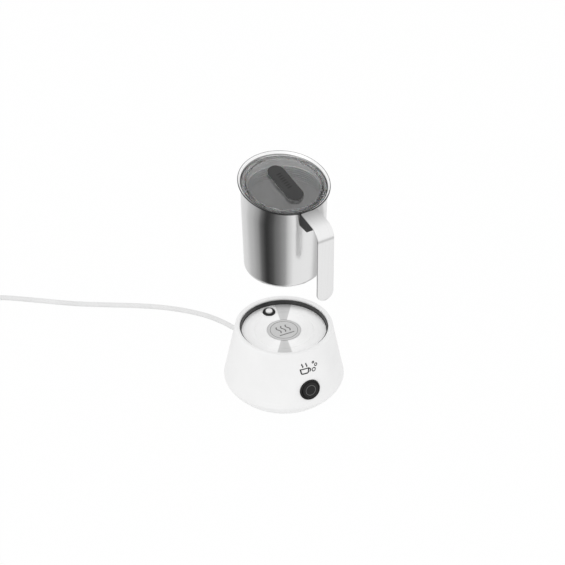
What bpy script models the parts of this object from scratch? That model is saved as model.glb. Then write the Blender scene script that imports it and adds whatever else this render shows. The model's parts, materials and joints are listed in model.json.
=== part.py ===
"""Electric milk frother: a white heated drive base and a lift-off steel jug with lid and magnetic whisk.

Metres, +Z up, origin on the base's axis at the standing surface. The jug's handle points along -Y.
The jug is held above the base, and its joint lets it down onto the heating plate.
"""

import math

import bmesh
import bpy
from mathutils import Matrix, Vector

MM = 0.001
GAP = 0.3

# Base
BASE_HEIGHT = 84.6
BASE_MAX_RADIUS = 64.4
BASE_MAX_RADIUS_Z = 21.6
BASE_FOOT_RADIUS = 46.8
WALL_LEAN = 0.196
SHELL_WALL = 2.6
SHELL_BOTTOM_Z = 1.2
OPENING_RADIUS = 47.1
BASE_TURN = math.radians(-4.5)

# Recess and heating plate
PLATE_Z = 77.4
PLATE_RADIUS = 45.4
PLATE_THICKNESS = 1.5
COLLAR_RADIUS = 46.75
COLLAR_INNER_RADIUS = 45.75
COLLAR_TOP_Z = 82.2
BADGE_RADIUS = 17.8
GROOVE_RADIUS = 31.7
SENSOR_RADIUS_FROM_AXIS = 35.3
SENSOR_COLLAR_RADIUS = 6.7
SENSOR_CAP_RADIUS = 3.75
SENSOR_PROUD = 3.0

# Power button
BUTTON_Z = 39.5
BUTTON_RADIUS = 11.4
BUTTON_CAP_RADIUS = 9.3
BUTTON_RING_RADIUS = 5.6

# Jug, in its lifted position
JUG_BOTTOM_Z = 161.9
JUG_BOTTOM_RADIUS = 41.6
JUG_TOP_RADIUS = 44.5
JUG_CORNER = 9.8
JUG_WALL = 1.0
RIM_SLOPE = 0.164
SKIRT_BOTTOM_Z = 245.1
HEAT_BASE_RADIUS = 26.5
HEAT_BASE_DEPTH = 3.0
FLOOR_HOLE_RADIUS = HEAT_BASE_RADIUS + GAP

# Handle
HANDLE_FACE = 80.6
HANDLE_WIDTH = 19.6
HANDLE_THICKNESS = 1.8
HANDLE_START = 48.5
HANDLE_TOP_Z = 260.4
HANDLE_BEND = 14.0
HANDLE_TIP_Z = 168.6
BRACKET_WIDTH = 16.6
BRACKET_END = 57.6
BRACKET_BOTTOM_Z = 242.0

# Lid
LID_TOP_Z = 266.4
LID_RADIUS = 43.0
LID_BAR_HALF = 18.6
LID_BAR_SHIFT = -2.6
LID_BAR_RADIUS = 9.0

# Whisk
JUG_FLOOR_Z = JUG_BOTTOM_Z + JUG_WALL
WHISK_RADIUS = 20.0
WHISK_COIL_RADIUS = 3.4
WHISK_WIRE = 0.45
WHISK_TURNS = 16

# Power cord
CORD_RADIUS = 2.8
CORD_EXIT_Z = 12.0
CORD_REST_Z = 2.95
RELIEF_END = 40.6
COIL_CENTRE = (-220.0, 349.6)
COIL_RADIUS = 29.3
COIL_HALF_WIDTH = 8.8
COIL_HALF_HEIGHT = 2.95

SEGMENTS = 32


def material(name, colour, roughness, metallic=0.0, transmission=0.0, alpha=1.0):
    mat = bpy.data.materials.new(name)
    mat.use_nodes = True
    bsdf = mat.node_tree.nodes["Principled BSDF"]
    bsdf.inputs["Base Color"].default_value = (*colour, 1.0)
    bsdf.inputs["Roughness"].default_value = roughness
    bsdf.inputs["Metallic"].default_value = metallic
    bsdf.inputs["Transmission Weight"].default_value = transmission
    bsdf.inputs["Alpha"].default_value = alpha
    return mat


WHITE = dict(colour=(0.86, 0.86, 0.86), roughness=0.38)
DARK = dict(colour=(0.03, 0.03, 0.032), roughness=0.45)
BLACK = dict(colour=(0.018, 0.018, 0.02), roughness=0.5)
STEEL = dict(colour=(0.72, 0.72, 0.73), roughness=0.25, metallic=1.0)
SATIN = dict(colour=(0.80, 0.80, 0.80), roughness=0.38, metallic=1.0)
SMOKE = dict(colour=(0.30, 0.31, 0.32), roughness=0.08, transmission=0.7, alpha=0.5)
SILICONE = dict(colour=(0.66, 0.66, 0.67), roughness=0.4)
GREY = dict(colour=(0.45, 0.46, 0.47), roughness=0.45)
GREEN = dict(colour=(0.03, 0.16, 0.07), roughness=0.5)
CERAMIC = dict(colour=(0.72, 0.70, 0.66), roughness=0.7)
NICKEL = dict(colour=(0.62, 0.60, 0.56), roughness=0.28, metallic=1.0)


def finish(name, bm, look, origin=(0, 0, 0), turn=None):
    """Turns a bmesh in millimetres into a named object whose origin is at the given point."""
    bmesh.ops.recalc_face_normals(bm, faces=bm.faces)
    bmesh.ops.scale(bm, vec=(MM, MM, MM), verts=bm.verts)
    mesh = bpy.data.meshes.new(name)
    bm.to_mesh(mesh)
    bm.free()
    obj = bpy.data.objects.new(name, mesh)
    bpy.context.scene.collection.objects.link(obj)
    place = Matrix.Translation(Vector(origin) * MM)
    obj.matrix_world = place if turn is None else place @ turn.to_4x4()
    if look is not None:
        mesh.materials.append(material(name, **look))
    mesh.shade_smooth()
    mesh.set_sharp_from_angle(angle=math.radians(32))
    return obj


def lathe(name, profile, look, origin=(0, 0, 0), turn=None, segments=SEGMENTS, ring=False):
    """Turns (r, z) or (r, z, slant) points round Z. A ring's profile closes on itself."""
    bm = bmesh.new()
    rows = []
    for point in profile:
        r, z = point[0], point[1]
        slant = point[2] if len(point) > 2 else 0.0
        if r == 0:
            rows.append([bm.verts.new((0, 0, z))])
            continue
        row = []
        for i in range(segments):
            a = 2 * math.pi * i / segments
            y = r * math.sin(a)
            row.append(bm.verts.new((r * math.cos(a), y, z + slant * RIM_SLOPE * y)))
        rows.append(row)
    pairs = list(zip(rows, rows[1:]))
    if ring:
        pairs.append((rows[-1], rows[0]))
    for low, high in pairs:
        for i in range(segments):
            j = (i + 1) % segments
            corners = [low[i % len(low)], low[j % len(low)], high[j % len(high)], high[i % len(high)]]
            bm.faces.new(list(dict.fromkeys(corners)))
    return finish(name, bm, look, origin, turn)


def rounded(r, z, radius, start, end, steps=6, slant=0.0):
    """Points on an arc about (r, z), angles in degrees from +r towards +z."""
    found = []
    for i in range(steps + 1):
        a = math.radians(start + (end - start) * i / steps)
        found.append((r + radius * math.cos(a), z + radius * math.sin(a), slant))
    return found


def disc(radius, low, high, edge=0.4, steps=3):
    """Profile of a plain round solid with rounded edges."""
    return (
        [(0, low)]
        + rounded(radius - edge, low + edge, edge, -90, 0, steps)
        + rounded(radius - edge, high - edge, edge, 0, 90, steps)
        + [(0, high)]
    )


def tube_profile(inner, outer, low, high, edge=0.3, steps=2):
    """Profile of a ring of rectangular section with rounded edges."""
    return (
        rounded(outer - edge, low + edge, edge, -90, 0, steps)
        + rounded(outer - edge, high - edge, edge, 0, 90, steps)
        + rounded(inner + edge, high - edge, edge, 90, 180, steps)
        + rounded(inner + edge, low + edge, edge, 180, 270, steps)
    )


def block(name, centre, size, look, turn=None, edge=0.4):
    """A box with bevelled edges."""
    bm = bmesh.new()
    bmesh.ops.create_cube(bm, size=1.0)
    bmesh.ops.scale(bm, vec=size, verts=bm.verts)
    bmesh.ops.bevel(bm, geom=bm.edges, offset=edge, segments=2, profile=0.5, affect="EDGES")
    return finish(name, bm, look, centre, turn)


def obround(name, half, radius, low, high, look, origin, turn, edge=0.5):
    """A flat bar with full-round ends along local Y."""
    bm = bmesh.new()
    steps = 8
    levels = [(low, edge * 0.6), (low + edge * 0.6, 0)]
    levels += [(high - edge, 0), (high - edge * 0.3, edge * 0.3), (high, edge)]
    rows = []
    for z, inset in levels:
        row = []
        for end in (1, -1):
            for i in range(steps + 1):
                a = math.pi * i / steps + (0 if end > 0 else math.pi)
                r = radius - inset
                row.append(bm.verts.new((r * math.cos(a), end * half + r * math.sin(a), z)))
        rows.append(row)
    for a, b in zip(rows, rows[1:]):
        for i in range(len(a)):
            j = (i + 1) % len(a)
            bm.faces.new((a[i], a[j], b[j], b[i]))
    bm.faces.new(rows[0])
    bm.faces.new(rows[-1])
    return finish(name, bm, look, origin, turn)


def wire(name, points, radius, look, resolution=2, cyclic=False):
    """A round wire through points in millimetres."""
    curve = bpy.data.curves.new(name, "CURVE")
    curve.dimensions = "3D"
    curve.bevel_depth = radius * MM
    curve.bevel_resolution = resolution
    curve.use_fill_caps = True
    spline = curve.splines.new("POLY")
    spline.points.add(len(points) - 1)
    for point, (x, y, z) in zip(spline.points, points):
        point.co = (x * MM, y * MM, z * MM, 1.0)
    spline.use_cyclic_u = cyclic
    spline.use_smooth = True
    obj = bpy.data.objects.new(name, curve)
    bpy.context.scene.collection.objects.link(obj)
    curve.materials.append(material(name, **look))
    return obj


def smooth_path(route, spacing):
    """Evenly spaced points on a Catmull-Rom curve through the route."""
    pts = [Vector(p) for p in route]
    pts = [2 * pts[0] - pts[1]] + pts + [2 * pts[-1] - pts[-2]]
    dense = []
    for a, b, c, d in zip(pts, pts[1:], pts[2:], pts[3:]):
        for i in range(24):
            t = i / 24
            bend = 2 * a - 5 * b + 4 * c - d
            dense.append(0.5 * (2 * b + (c - a) * t + bend * t * t + (3 * b - a - 3 * c + d) * t**3))
    dense.append(pts[-2])
    total = sum((q - p).length for p, q in zip(dense, dense[1:]))
    count = max(2, round(total / spacing))
    found, run, goal = [dense[0]], 0.0, total / count
    for p, q in zip(dense, dense[1:]):
        step = (q - p).length
        while run + step >= goal * len(found) - 1e-9 and len(found) < count:
            found.append(p.lerp(q, (goal * len(found) - run) / step))
        run += step
    found.append(dense[-1])
    return [tuple(p) for p in found]


def cut(target, cutter):
    """Takes the cutter out of the target, and hides the cutter."""
    modifier = target.modifiers.new("cut_" + cutter.name, "BOOLEAN")
    modifier.operation = "DIFFERENCE"
    modifier.solver = "EXACT"
    modifier.object = cutter
    cutter.hide_render = True
    cutter.display_type = "WIRE"


def about_axis(point):
    """A point of the base, given with the button along -Y, after the base's turn."""
    return Matrix.Rotation(BASE_TURN, 3, "Z") @ Vector(point)


for old in list(bpy.data.objects):
    bpy.data.objects.remove(old, do_unlink=True)

TURN = Matrix.Rotation(BASE_TURN, 3, "Z")

# ---------------------------------------------------------------- base shell
top_outer = BASE_MAX_RADIUS - WALL_LEAN * (BASE_HEIGHT - 1.6 - BASE_MAX_RADIUS_Z)
outer_wall = [
    (BASE_FOOT_RADIUS - 0.6, SHELL_BOTTOM_Z),
    (BASE_FOOT_RADIUS + 0.3, SHELL_BOTTOM_Z + 0.25),
    (BASE_FOOT_RADIUS + 1.3, SHELL_BOTTOM_Z + 0.95),
    (52.4, 5.0),
    (57.0, 9.3),
    (60.8, 13.6),
    (63.0, 17.0),
    (63.9, 19.2),
    (64.3, 20.9),
    (BASE_MAX_RADIUS, 22.2),
    (BASE_MAX_RADIUS - 0.2, 24.0),
    (BASE_MAX_RADIUS - WALL_LEAN * 18.4, 40.0),
    (BASE_MAX_RADIUS - WALL_LEAN * 38.4, 60.0),
    (top_outer, BASE_HEIGHT - 1.6),
]
lip = rounded(top_outer - 1.9, BASE_HEIGHT - 1.9, 1.9, 12, 90, 3) + rounded(
    OPENING_RADIUS + 1.5, BASE_HEIGHT - 1.5, 1.5, 90, 180, 3
)
inner_wall = [
    (OPENING_RADIUS, BASE_HEIGHT - 4.2),
    (OPENING_RADIUS + 1.9, BASE_HEIGHT - 4.6),
    (top_outer - SHELL_WALL + 0.9, BASE_HEIGHT - 6.4),
    (BASE_MAX_RADIUS - SHELL_WALL - WALL_LEAN * 38.4, 60.0),
    (BASE_MAX_RADIUS - SHELL_WALL - WALL_LEAN * 18.4, 40.0),
    (BASE_MAX_RADIUS - SHELL_WALL - 0.2, 24.0),
    (61.2, 20.6),
    (58.6, 15.4),
    (54.6, 10.6),
    (49.6, 6.2),
    (45.2, 3.4),
    (44.2, 2.6),
    (44.2, SHELL_BOTTOM_Z),
]
base_shell = lathe("base_shell", outer_wall + lip + inner_wall, WHITE, segments=48, ring=True)

button_normal = about_axis((0, -1, WALL_LEAN)).normalized()
button_place = about_axis((0, -(BASE_MAX_RADIUS - WALL_LEAN * (BUTTON_Z - BASE_MAX_RADIUS_Z)), BUTTON_Z))
BUTTON_TURN = button_normal.to_track_quat("Z", "Y").to_matrix()
button_hole = disc(BUTTON_RADIUS + GAP, -9, 9, 0.1, 1)
cut(base_shell, lathe("button_hole", button_hole, None, button_place, BUTTON_TURN, 40))

exit_turn = TURN @ Matrix.Rotation(math.radians(-90), 3, "X")
exit_place = about_axis((0, 40, CORD_EXIT_Z))
cut(base_shell, lathe("cord_hole", disc(5.3, 0, 40, 0.1, 1), None, exit_place, exit_turn, 32))

# ---------------------------------------------------------------- recess, plate and heater
plate_bottom = PLATE_Z - PLATE_THICKNESS
shelf_z = plate_bottom - GAP
recess_collar = [
    (COLLAR_RADIUS, 72.0),
    (COLLAR_RADIUS, COLLAR_TOP_Z - 0.2),
    (COLLAR_RADIUS - 0.2, COLLAR_TOP_Z),
    (COLLAR_INNER_RADIUS + 0.2, COLLAR_TOP_Z),
    (COLLAR_INNER_RADIUS, COLLAR_TOP_Z - 0.2),
    (COLLAR_INNER_RADIUS, shelf_z),
    (44.0, shelf_z),
    (44.0, 72.4),
    (44.4, 72.0),
]
lathe("recess_collar", recess_collar, DARK, segments=40, ring=True)

heating_plate = [
    (0, plate_bottom),
    (PLATE_RADIUS, plate_bottom),
    (PLATE_RADIUS, PLATE_Z - 0.25),
    (PLATE_RADIUS - 0.25, PLATE_Z),
    (GROOVE_RADIUS + 0.35, PLATE_Z),
    (GROOVE_RADIUS + 0.12, PLATE_Z - 0.25),
    (GROOVE_RADIUS - 0.12, PLATE_Z - 0.25),
    (GROOVE_RADIUS - 0.35, PLATE_Z),
    (BADGE_RADIUS + GAP, PLATE_Z),
    (BADGE_RADIUS + GAP, PLATE_Z - 0.75),
    (0, PLATE_Z - 0.75),
]
plate = lathe("heating_plate", heating_plate, STEEL)
sensor_place = about_axis((0, SENSOR_RADIUS_FROM_AXIS, 0))
sensor_hole = disc(SENSOR_COLLAR_RADIUS + GAP, 70, 84, 0.1, 1)
cut(plate, lathe("sensor_hole", sensor_hole, None, sensor_place, segments=28))

badge = (
    [(0, PLATE_Z - 0.45)]
    + rounded(BADGE_RADIUS - 0.2, PLATE_Z - 0.15, 0.2, -60, 80, 3)
    + [
        (BADGE_RADIUS - 1.5, PLATE_Z + 0.05),
        (BADGE_RADIUS - 1.7, PLATE_Z - 0.08),
        (BADGE_RADIUS - 2.0, PLATE_Z - 0.08),
        (BADGE_RADIUS - 2.2, PLATE_Z + 0.05),
        (0, PLATE_Z + 0.05),
    ]
)
lathe("centre_badge", badge, GREY)

sensor_collar = [
    (4.15, 73.6),
    (SENSOR_COLLAR_RADIUS, 73.6),
    (SENSOR_COLLAR_RADIUS, PLATE_Z + 0.9),
    (SENSOR_COLLAR_RADIUS - 0.25, PLATE_Z + 1.25),
    (SENSOR_COLLAR_RADIUS - 0.8, PLATE_Z + 1.4),
    (4.9, PLATE_Z + 1.4),
    (4.4, PLATE_Z + 1.2),
    (4.15, PLATE_Z + 0.8),
]
lathe("sensor_collar", sensor_collar, BLACK, sensor_place, segments=28, ring=True)

cap_top = PLATE_Z + SENSOR_PROUD
cap_base = Vector((sensor_place.x, sensor_place.y, 74.2))
sensor_cap = (
    [(0, 0), (SENSOR_CAP_RADIUS - 0.2, 0), (SENSOR_CAP_RADIUS, 0.2)]
    + [(SENSOR_CAP_RADIUS, cap_top - 75.4)]
    + [(3.6, cap_top - 74.95), (3.2, cap_top - 74.55), (2.4, cap_top - 74.3)]
    + [(1.2, cap_top - 74.22), (0, cap_top - 74.2)]
)
lathe("sensor_cap", sensor_cap, dict(colour=(0.85, 0.85, 0.84), roughness=0.3), cap_base, segments=20)

spring_low, spring_high, spring_turns = 70.4, 73.9, 3
spring = []
for i in range(spring_turns * 8 + 1):
    a = 2 * math.pi * i / 8
    z = spring_low + 0.35 + (spring_high - spring_low - 0.7) * i / (spring_turns * 8)
    spring.append((sensor_place.x + 2.2 * math.cos(a), sensor_place.y + 2.2 * math.sin(a), z))
wire("sensor_spring", spring, 0.3, STEEL, 0)
lathe("thermostat", disc(7.6, 60.0, 70.1, 0.6, 1), CERAMIC, sensor_place, segments=20)

lathe("heater_ring", tube_profile(20.0, 26.0, 71.4, shelf_z, 0.8, 2), NICKEL, segments=24, ring=True)
lathe("heat_shield", tube_profile(14.0, 27.0, 69.0, 71.1, 0.3, 1), CERAMIC, segments=24, ring=True)

# ---------------------------------------------------------------- magnetic drive
rotor_place = Vector((0, 0, 66.5))
carrier = [
    (0, 2.0),
    (1.5, 2.0),
    (1.5, 0),
    (11.6, 0),
    (12.0, 0.4),
    (12.0, 4.1),
    (11.6, 4.5),
    (0, 4.5),
]
lathe("magnet_carrier", carrier, DARK, rotor_place, segments=28)
for number, side in ((1, 1), (2, -1)):
    magnet_place = Vector((side * 7.4, 0, 71.3))
    lathe(f"drive_magnet_{number}", disc(3.5, 0, 3.6, 0.3, 1), NICKEL, magnet_place, segments=16)
lathe("motor_shaft", disc(1.2, -10.0, 1.7, 0.2, 1), STEEL, rotor_place, segments=12)
motor_can = (
    [(0, 34.0)]
    + rounded(13.0, 35.0, 1.0, -90, 0, 2)
    + rounded(13.0, 57.0, 1.0, 0, 90, 2)
    + [(4.2, 58.0), (4.0, 58.2), (4.0, 60.0), (3.7, 60.3), (1.6, 60.3), (1.6, 56.0), (0, 56.0)]
)
lathe("motor_can", motor_can, STEEL, segments=20)
lathe("motor_bracket", tube_profile(14.4, 52.5, 53.0, 55.4, 0.4, 1), GREY, segments=24, ring=True)

# ---------------------------------------------------------------- electronics
for name, centre, size, look in (
    ("control_board", (0, 6, 20.0), (62, 46, 1.6), GREEN),
    ("relay_block", (-18, 12, 26.1), (19, 15, 10.0), WHITE),
    ("terminal_block", (14, 22, 25.4), (18, 9, 8.6), GREY),
):
    block(name, about_axis(centre), size, look, TURN)
lathe("capacitor", disc(5.0, 21.1, 33.0, 0.7, 2), DARK, about_axis((16, -4, 0)), segments=16)


def on_button(name, profile, look, ring=False, segments=24):
    return lathe(name, profile, look, button_place, BUTTON_TURN, segments, ring)


bezel = [(9.9, -5.0), (BUTTON_RADIUS, -5.0), (BUTTON_RADIUS, 0.5)] + [
    (BUTTON_RADIUS - 0.15, 0.85),
    (BUTTON_RADIUS - 0.5, 1.0),
    (10.1, 1.0),
    (9.75, 0.8),
    (9.65, 0.4),
    (9.65, -4.7),
]
on_button("button_bezel", bezel, BLACK, ring=True)
ring_in, ring_out = BUTTON_RING_RADIUS - 0.4, BUTTON_RING_RADIUS + 0.4
cap = [
    (0, -8.0),
    (1.8, -8.0),
    (2.0, -7.8),
    (2.0, -2.6),
    (9.1, -2.6),
    (BUTTON_CAP_RADIUS, -2.4),
    (BUTTON_CAP_RADIUS, 1.0),
    (9.15, 1.35),
    (8.7, 1.6),
    (7.6, 1.75),
    (ring_out + GAP, 1.85),
    (ring_out + GAP, 1.0),
    (ring_in - GAP, 1.0),
    (ring_in - GAP, 1.9),
    (2.5, 1.95),
    (0, 1.97),
]
on_button("button_cap", cap, BLACK)
on_button("button_light_ring", tube_profile(ring_in, ring_out, 1.3, 1.92, 0.15, 1), GREY, ring=True)


def behind_button(depth):
    return button_place + button_normal * depth


block("tact_switch", behind_button(-12.2), (8, 8, 5.2), DARK, BUTTON_TURN)
block("button_board", behind_button(-15.9), (24, 26, 1.6), GREEN, BUTTON_TURN)

# ---------------------------------------------------------------- underside
lathe("bottom_cover", disc(43.9, 2.0, 4.4, 0.6, 2), GREY)
for number in range(4):
    a = math.radians(45 + 90 * number)
    place = about_axis((34 * math.cos(a), 34 * math.sin(a), 0))
    lathe(f"foot_{number + 1}", disc(5.5, 0.0, 1.7, 0.4, 2), DARK, place, segments=14)
for number in range(3):
    a = math.radians(30 + 120 * number)
    place = about_axis((37.5 * math.cos(a), 37.5 * math.sin(a), 0))
    head = [(0, 1.15), (2.4, 1.15), (3.0, 1.4), (3.0, 1.7), (0, 1.7)]
    lathe(f"cover_screw_{number + 1}", head, STEEL, place, segments=14)

# ---------------------------------------------------------------- power cord
relief = [
    (CORD_RADIUS + GAP, 5.6),
    (6.2, 5.6),
    (6.2, 7.4),
    (4.9, 7.8),
    (4.9, 22.0),
    (4.6, 27.0),
    (4.1, 37.2),
    (3.9, 40.0),
    (3.6, RELIEF_END),
    (CORD_RADIUS + GAP, RELIEF_END),
]
lathe("strain_relief", relief, WHITE, exit_place, exit_turn, 24, ring=True)
clamp_height = 3.6
clamp_z = CORD_EXIT_Z - CORD_RADIUS - GAP - clamp_height / 2
block("cord_clamp", about_axis((0, 31, clamp_z)), (16, 8, clamp_height), GREY, TURN)

start = [tuple(about_axis((0, y, CORD_EXIT_Z))) for y in (26, 44, 62, 72, 82)]
route = start + [
    (6.5, 93.0, 10.7),
    (5.5, 104.0, 6.8),
    (3.7, 115.0, CORD_REST_Z + 0.8),
    (0.6, 126.8, CORD_REST_Z),
    (-4.0, 138.0, CORD_REST_Z),
    (-9.8, 149.0, CORD_REST_Z),
    (-17.1, 159.4, CORD_REST_Z),
    (-29.3, 174.0, CORD_REST_Z),
    (-46.0, 190.0, CORD_REST_Z),
    (-68.0, 207.0, CORD_REST_Z),
    (-96.0, 226.0, CORD_REST_Z),
    (-126.0, 247.0, CORD_REST_Z),
    (-155.0, 271.0, CORD_REST_Z),
    (-184.0, 294.0, CORD_REST_Z),
    (-202.0, 303.6, CORD_REST_Z),
    (-215.5, 308.1, CORD_REST_Z),
]
wire("power_cord", smooth_path(route, 10.0), CORD_RADIUS, WHITE, 2)

coil_section = [
    (COIL_RADIUS + COIL_HALF_WIDTH * math.cos(a), COIL_HALF_HEIGHT * (1.06 + math.sin(a)))
    for a in (2 * math.pi * i / 12 for i in range(12))
]
lathe("cord_coil", coil_section, WHITE, (*COIL_CENTRE, 0), segments=32, ring=True)

plug_place = Vector((COIL_CENTRE[0] + 5, COIL_CENTRE[1] + 45.5, 6.9))
plug_turn = Matrix.Rotation(math.radians(90), 3, "Y")
plug = (
    [(0, -17.0)]
    + [(3.7, -17.0), (4.1, -16.6), (4.8, -10.0), (5.6, -4.0), (6.6, 2.0)]
    + rounded(5.6, 12.6, 1.0, 0, 90, 3)
    + [(0, 13.6)]
)
lathe("plug_body", plug, WHITE, plug_place, plug_turn, 24)
for number, side in ((1, 1), (2, -1)):
    pin_place = plug_place + Vector((13.9, side * 3.6, 0))
    lathe(f"plug_pin_{number}", disc(1.9, 0, 18.6, 0.6, 2), NICKEL, pin_place, plug_turn, 12)

# ---------------------------------------------------------------- jug
inner_top = JUG_TOP_RADIUS - JUG_WALL
corner_r = JUG_BOTTOM_RADIUS - JUG_CORNER
corner_z = JUG_BOTTOM_Z + JUG_CORNER
jug_outer = (
    [(FLOOR_HOLE_RADIUS, JUG_BOTTOM_Z)]
    + rounded(corner_r, corner_z, JUG_CORNER, -90, 0, 5)
    + [(JUG_TOP_RADIUS - 0.2, 242.0)]
)
lip_outer = [
    (JUG_TOP_RADIUS, 263.6),
    (44.8, 264.3),
    (45.5, 265.0),
    (46.9, 266.2),
    (47.5, 266.8),
    (47.7, 267.4),
    (47.5, 268.0),
    (47.1, 268.2),
    (46.7, 268.0),
    (46.1, 267.3),
    (44.9, 266.2),
    (43.9, 265.2),
    (inner_top + 0.05, 264.4),
    (inner_top, 263.4),
]
jug_inner = (
    [(inner_top - 0.2, 242.0)]
    + rounded(corner_r, corner_z, JUG_CORNER - JUG_WALL, 0, -90, 5)
    + [(FLOOR_HOLE_RADIUS, JUG_FLOOR_Z)]
)
lathe("jug_body", jug_outer + [(r, z, 1.0) for r, z in lip_outer] + jug_inner, STEEL, segments=48, ring=True)
heat_base = [
    (0, -HEAT_BASE_DEPTH + 0.4),
    (HEAT_BASE_RADIUS - 6.0, -HEAT_BASE_DEPTH + 0.4),
    (HEAT_BASE_RADIUS - 6.6, -HEAT_BASE_DEPTH),
    (HEAT_BASE_RADIUS - 0.5, -HEAT_BASE_DEPTH),
    (HEAT_BASE_RADIUS, -HEAT_BASE_DEPTH + 0.5),
    (HEAT_BASE_RADIUS, JUG_WALL),
    (0, JUG_WALL),
]
lathe("jug_heat_base", heat_base, STEEL, (0, 0, JUG_BOTTOM_Z))
post = [(0, 0.3), (2.0, 0.3), (2.0, 8.4), (1.6, 9.2), (0.8, 9.7), (0, 9.8)]
lathe("whisk_post", post, STEEL, (0, 0, JUG_FLOOR_Z), segments=14)


def handle_path():
    """Centreline (y, z) of the strap, from the jug's wall to the tip, outwards along -Y."""
    reach = HANDLE_FACE - HANDLE_THICKNESS / 2
    slope = math.atan(RIM_SLOPE)
    drop = HANDLE_THICKNESS / 2 / math.cos(slope)
    corner_height = HANDLE_TOP_Z - drop - RIM_SLOPE * (reach - HANDLE_START)
    radius = HANDLE_BEND - HANDLE_THICKNESS / 2
    turn = math.pi / 2 - slope
    cut_back = radius * math.tan(turn / 2)
    first = (HANDLE_START, HANDLE_TOP_Z - drop)
    bend = (reach - cut_back * math.cos(slope), corner_height + cut_back * math.sin(slope))
    centre = (bend[0] - radius * math.sin(slope), bend[1] - radius * math.cos(slope))
    points = [tuple(first[k] + (bend[k] - first[k]) * t for k in (0, 1)) for t in (0, 0.5, 1)]
    for i in range(1, 9):
        a = math.pi / 2 - slope - turn * i / 8
        points.append((centre[0] + radius * math.cos(a), centre[1] + radius * math.sin(a)))
    low = HANDLE_TIP_Z + HANDLE_WIDTH / 2
    points += [(reach, z) for z in (220.0, 200.0, low)]
    for i in range(1, 9):
        a = math.pi / 2 * i / 8
        points.append((reach, low - HANDLE_WIDTH / 2 * math.sin(a) + (0.06 if i == 8 else 0)))
    return points, low


def strap(name, look):
    """The handle's bent strip, of a flat section with softened edges and a full-round tip."""
    points, low = handle_path()
    bm = bmesh.new()
    half, thick, soft = HANDLE_WIDTH / 2, HANDLE_THICKNESS / 2, 0.4
    rows = []
    for i, (y, z) in enumerate(points):
        before, after = points[max(i - 1, 0)], points[min(i + 1, len(points) - 1)]
        along = Vector((after[0] - before[0], after[1] - before[1])).normalized()
        out = Vector((-along.y, along.x))
        if out.x < 0 and out.y <= 0:
            out = -out
        w = half
        if z < low - 1e-6 and i > 10:
            w = math.sqrt(max(half**2 - (low - z) ** 2, 0.36))
        s = min(soft, w * 0.6)
        section = [(w, thick - s), (w - s, thick), (s - w, thick), (-w, thick - s)]
        section += [(-w, s - thick), (s - w, -thick), (w - s, -thick), (w, s - thick)]
        rows.append([bm.verts.new((x, -(y + out.x * t), z + out.y * t)) for x, t in section])
    for a, b in zip(rows, rows[1:]):
        for i in range(8):
            j = (i + 1) % 8
            bm.faces.new((a[i], a[j], b[j], b[i]))
    bm.faces.new(rows[0])
    bm.faces.new(rows[-1])
    return finish(name, bm, look)


strap("handle_strap", SATIN)

strap_under = HANDLE_TOP_Z - HANDLE_THICKNESS / math.cos(math.atan(RIM_SLOPE)) - GAP * 1.1
bracket_outline = [
    (40.0, BRACKET_BOTTOM_Z + 0.8),
    (BRACKET_END - 1.2, BRACKET_BOTTOM_Z),
    (BRACKET_END - 0.3, BRACKET_BOTTOM_Z + 0.3),
    (BRACKET_END, BRACKET_BOTTOM_Z + 1.2),
    (BRACKET_END + 2.2, strap_under - RIM_SLOPE * (BRACKET_END + 2.2 - HANDLE_START)),
    (40.0, strap_under - RIM_SLOPE * (40.0 - HANDLE_START)),
]
bm = bmesh.new()
sides = []
for x in (-BRACKET_WIDTH / 2, BRACKET_WIDTH / 2):
    sides.append([bm.verts.new((x, -y, z)) for y, z in bracket_outline])
for i in range(len(bracket_outline)):
    j = (i + 1) % len(bracket_outline)
    bm.faces.new((sides[0][i], sides[0][j], sides[1][j], sides[1][i]))
bm.faces.new(sides[0])
bm.faces.new(sides[1])
bmesh.ops.bevel(
    bm, geom=[e for e in bm.edges if abs(e.verts[0].co.x - e.verts[1].co.x) < 0.1], offset=0.5, segments=2,
    profile=0.5, affect="EDGES",
)
bracket = finish("handle_bracket", bm, BLACK)
clear_radius = JUG_TOP_RADIUS + GAP + 0.1
wall_cutter = lathe("bracket_wall_cutter", disc(clear_radius, 235, 256.5, 0.1, 1), None, segments=48)
lip_clearance = [(0, 255.0), (clear_radius, 255.0), (clear_radius, 263.2)]
lip_clearance += [(47.4, 265.6), (48.6, 267.0), (48.6, 272.0), (0, 272.0)]
lip_cutter = lathe("bracket_lip_cutter", [(r, z, 1.0) for r, z in lip_clearance], None, segments=48)
cut(bracket, wall_cutter)
cut(bracket, lip_cutter)
screw_head = [(0, -1.6), (1.6, -1.6), (2.6, -1.0), (2.6, -GAP), (0, -GAP)]
lathe("handle_screw", screw_head, STEEL, (0, -51.0, BRACKET_BOTTOM_Z + 0.1), segments=14)

# ---------------------------------------------------------------- lid
lid_low = LID_TOP_Z - 2.2
lid_flange = [
    (0, LID_TOP_Z),
    (20.0, LID_TOP_Z),
    (LID_RADIUS - 0.8, LID_TOP_Z),
    (LID_RADIUS - 0.2, LID_TOP_Z - 0.25),
    (LID_RADIUS, LID_TOP_Z - 0.8),
    (LID_RADIUS, lid_low + 0.6),
    (LID_RADIUS - 0.5, lid_low),
    (41.4, lid_low),
    (40.6, lid_low - 0.6),
    (40.2, lid_low - 1.8),
]
lid_skirt_outer = [(40.0, 246.2), (39.75, 245.4), (39.3, SKIRT_BOTTOM_Z)]
lid_skirt_inner = [(38.7, SKIRT_BOTTOM_Z), (38.25, 245.4), (38.1, 246.2)]
lid_ceiling = lid_low + 0.4
lid_under = [(38.5, lid_low - 1.0), (38.1, lid_low + 0.1), (37.2, lid_ceiling), (0, lid_ceiling)]
lathe(
    "lid_cover",
    [(r, z, 1.0) for r, z in lid_flange]
    + lid_skirt_outer
    + lid_skirt_inner
    + [(r, z, 1.0) for r, z in lid_under],
    SMOKE,
    segments=48,
)
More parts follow.
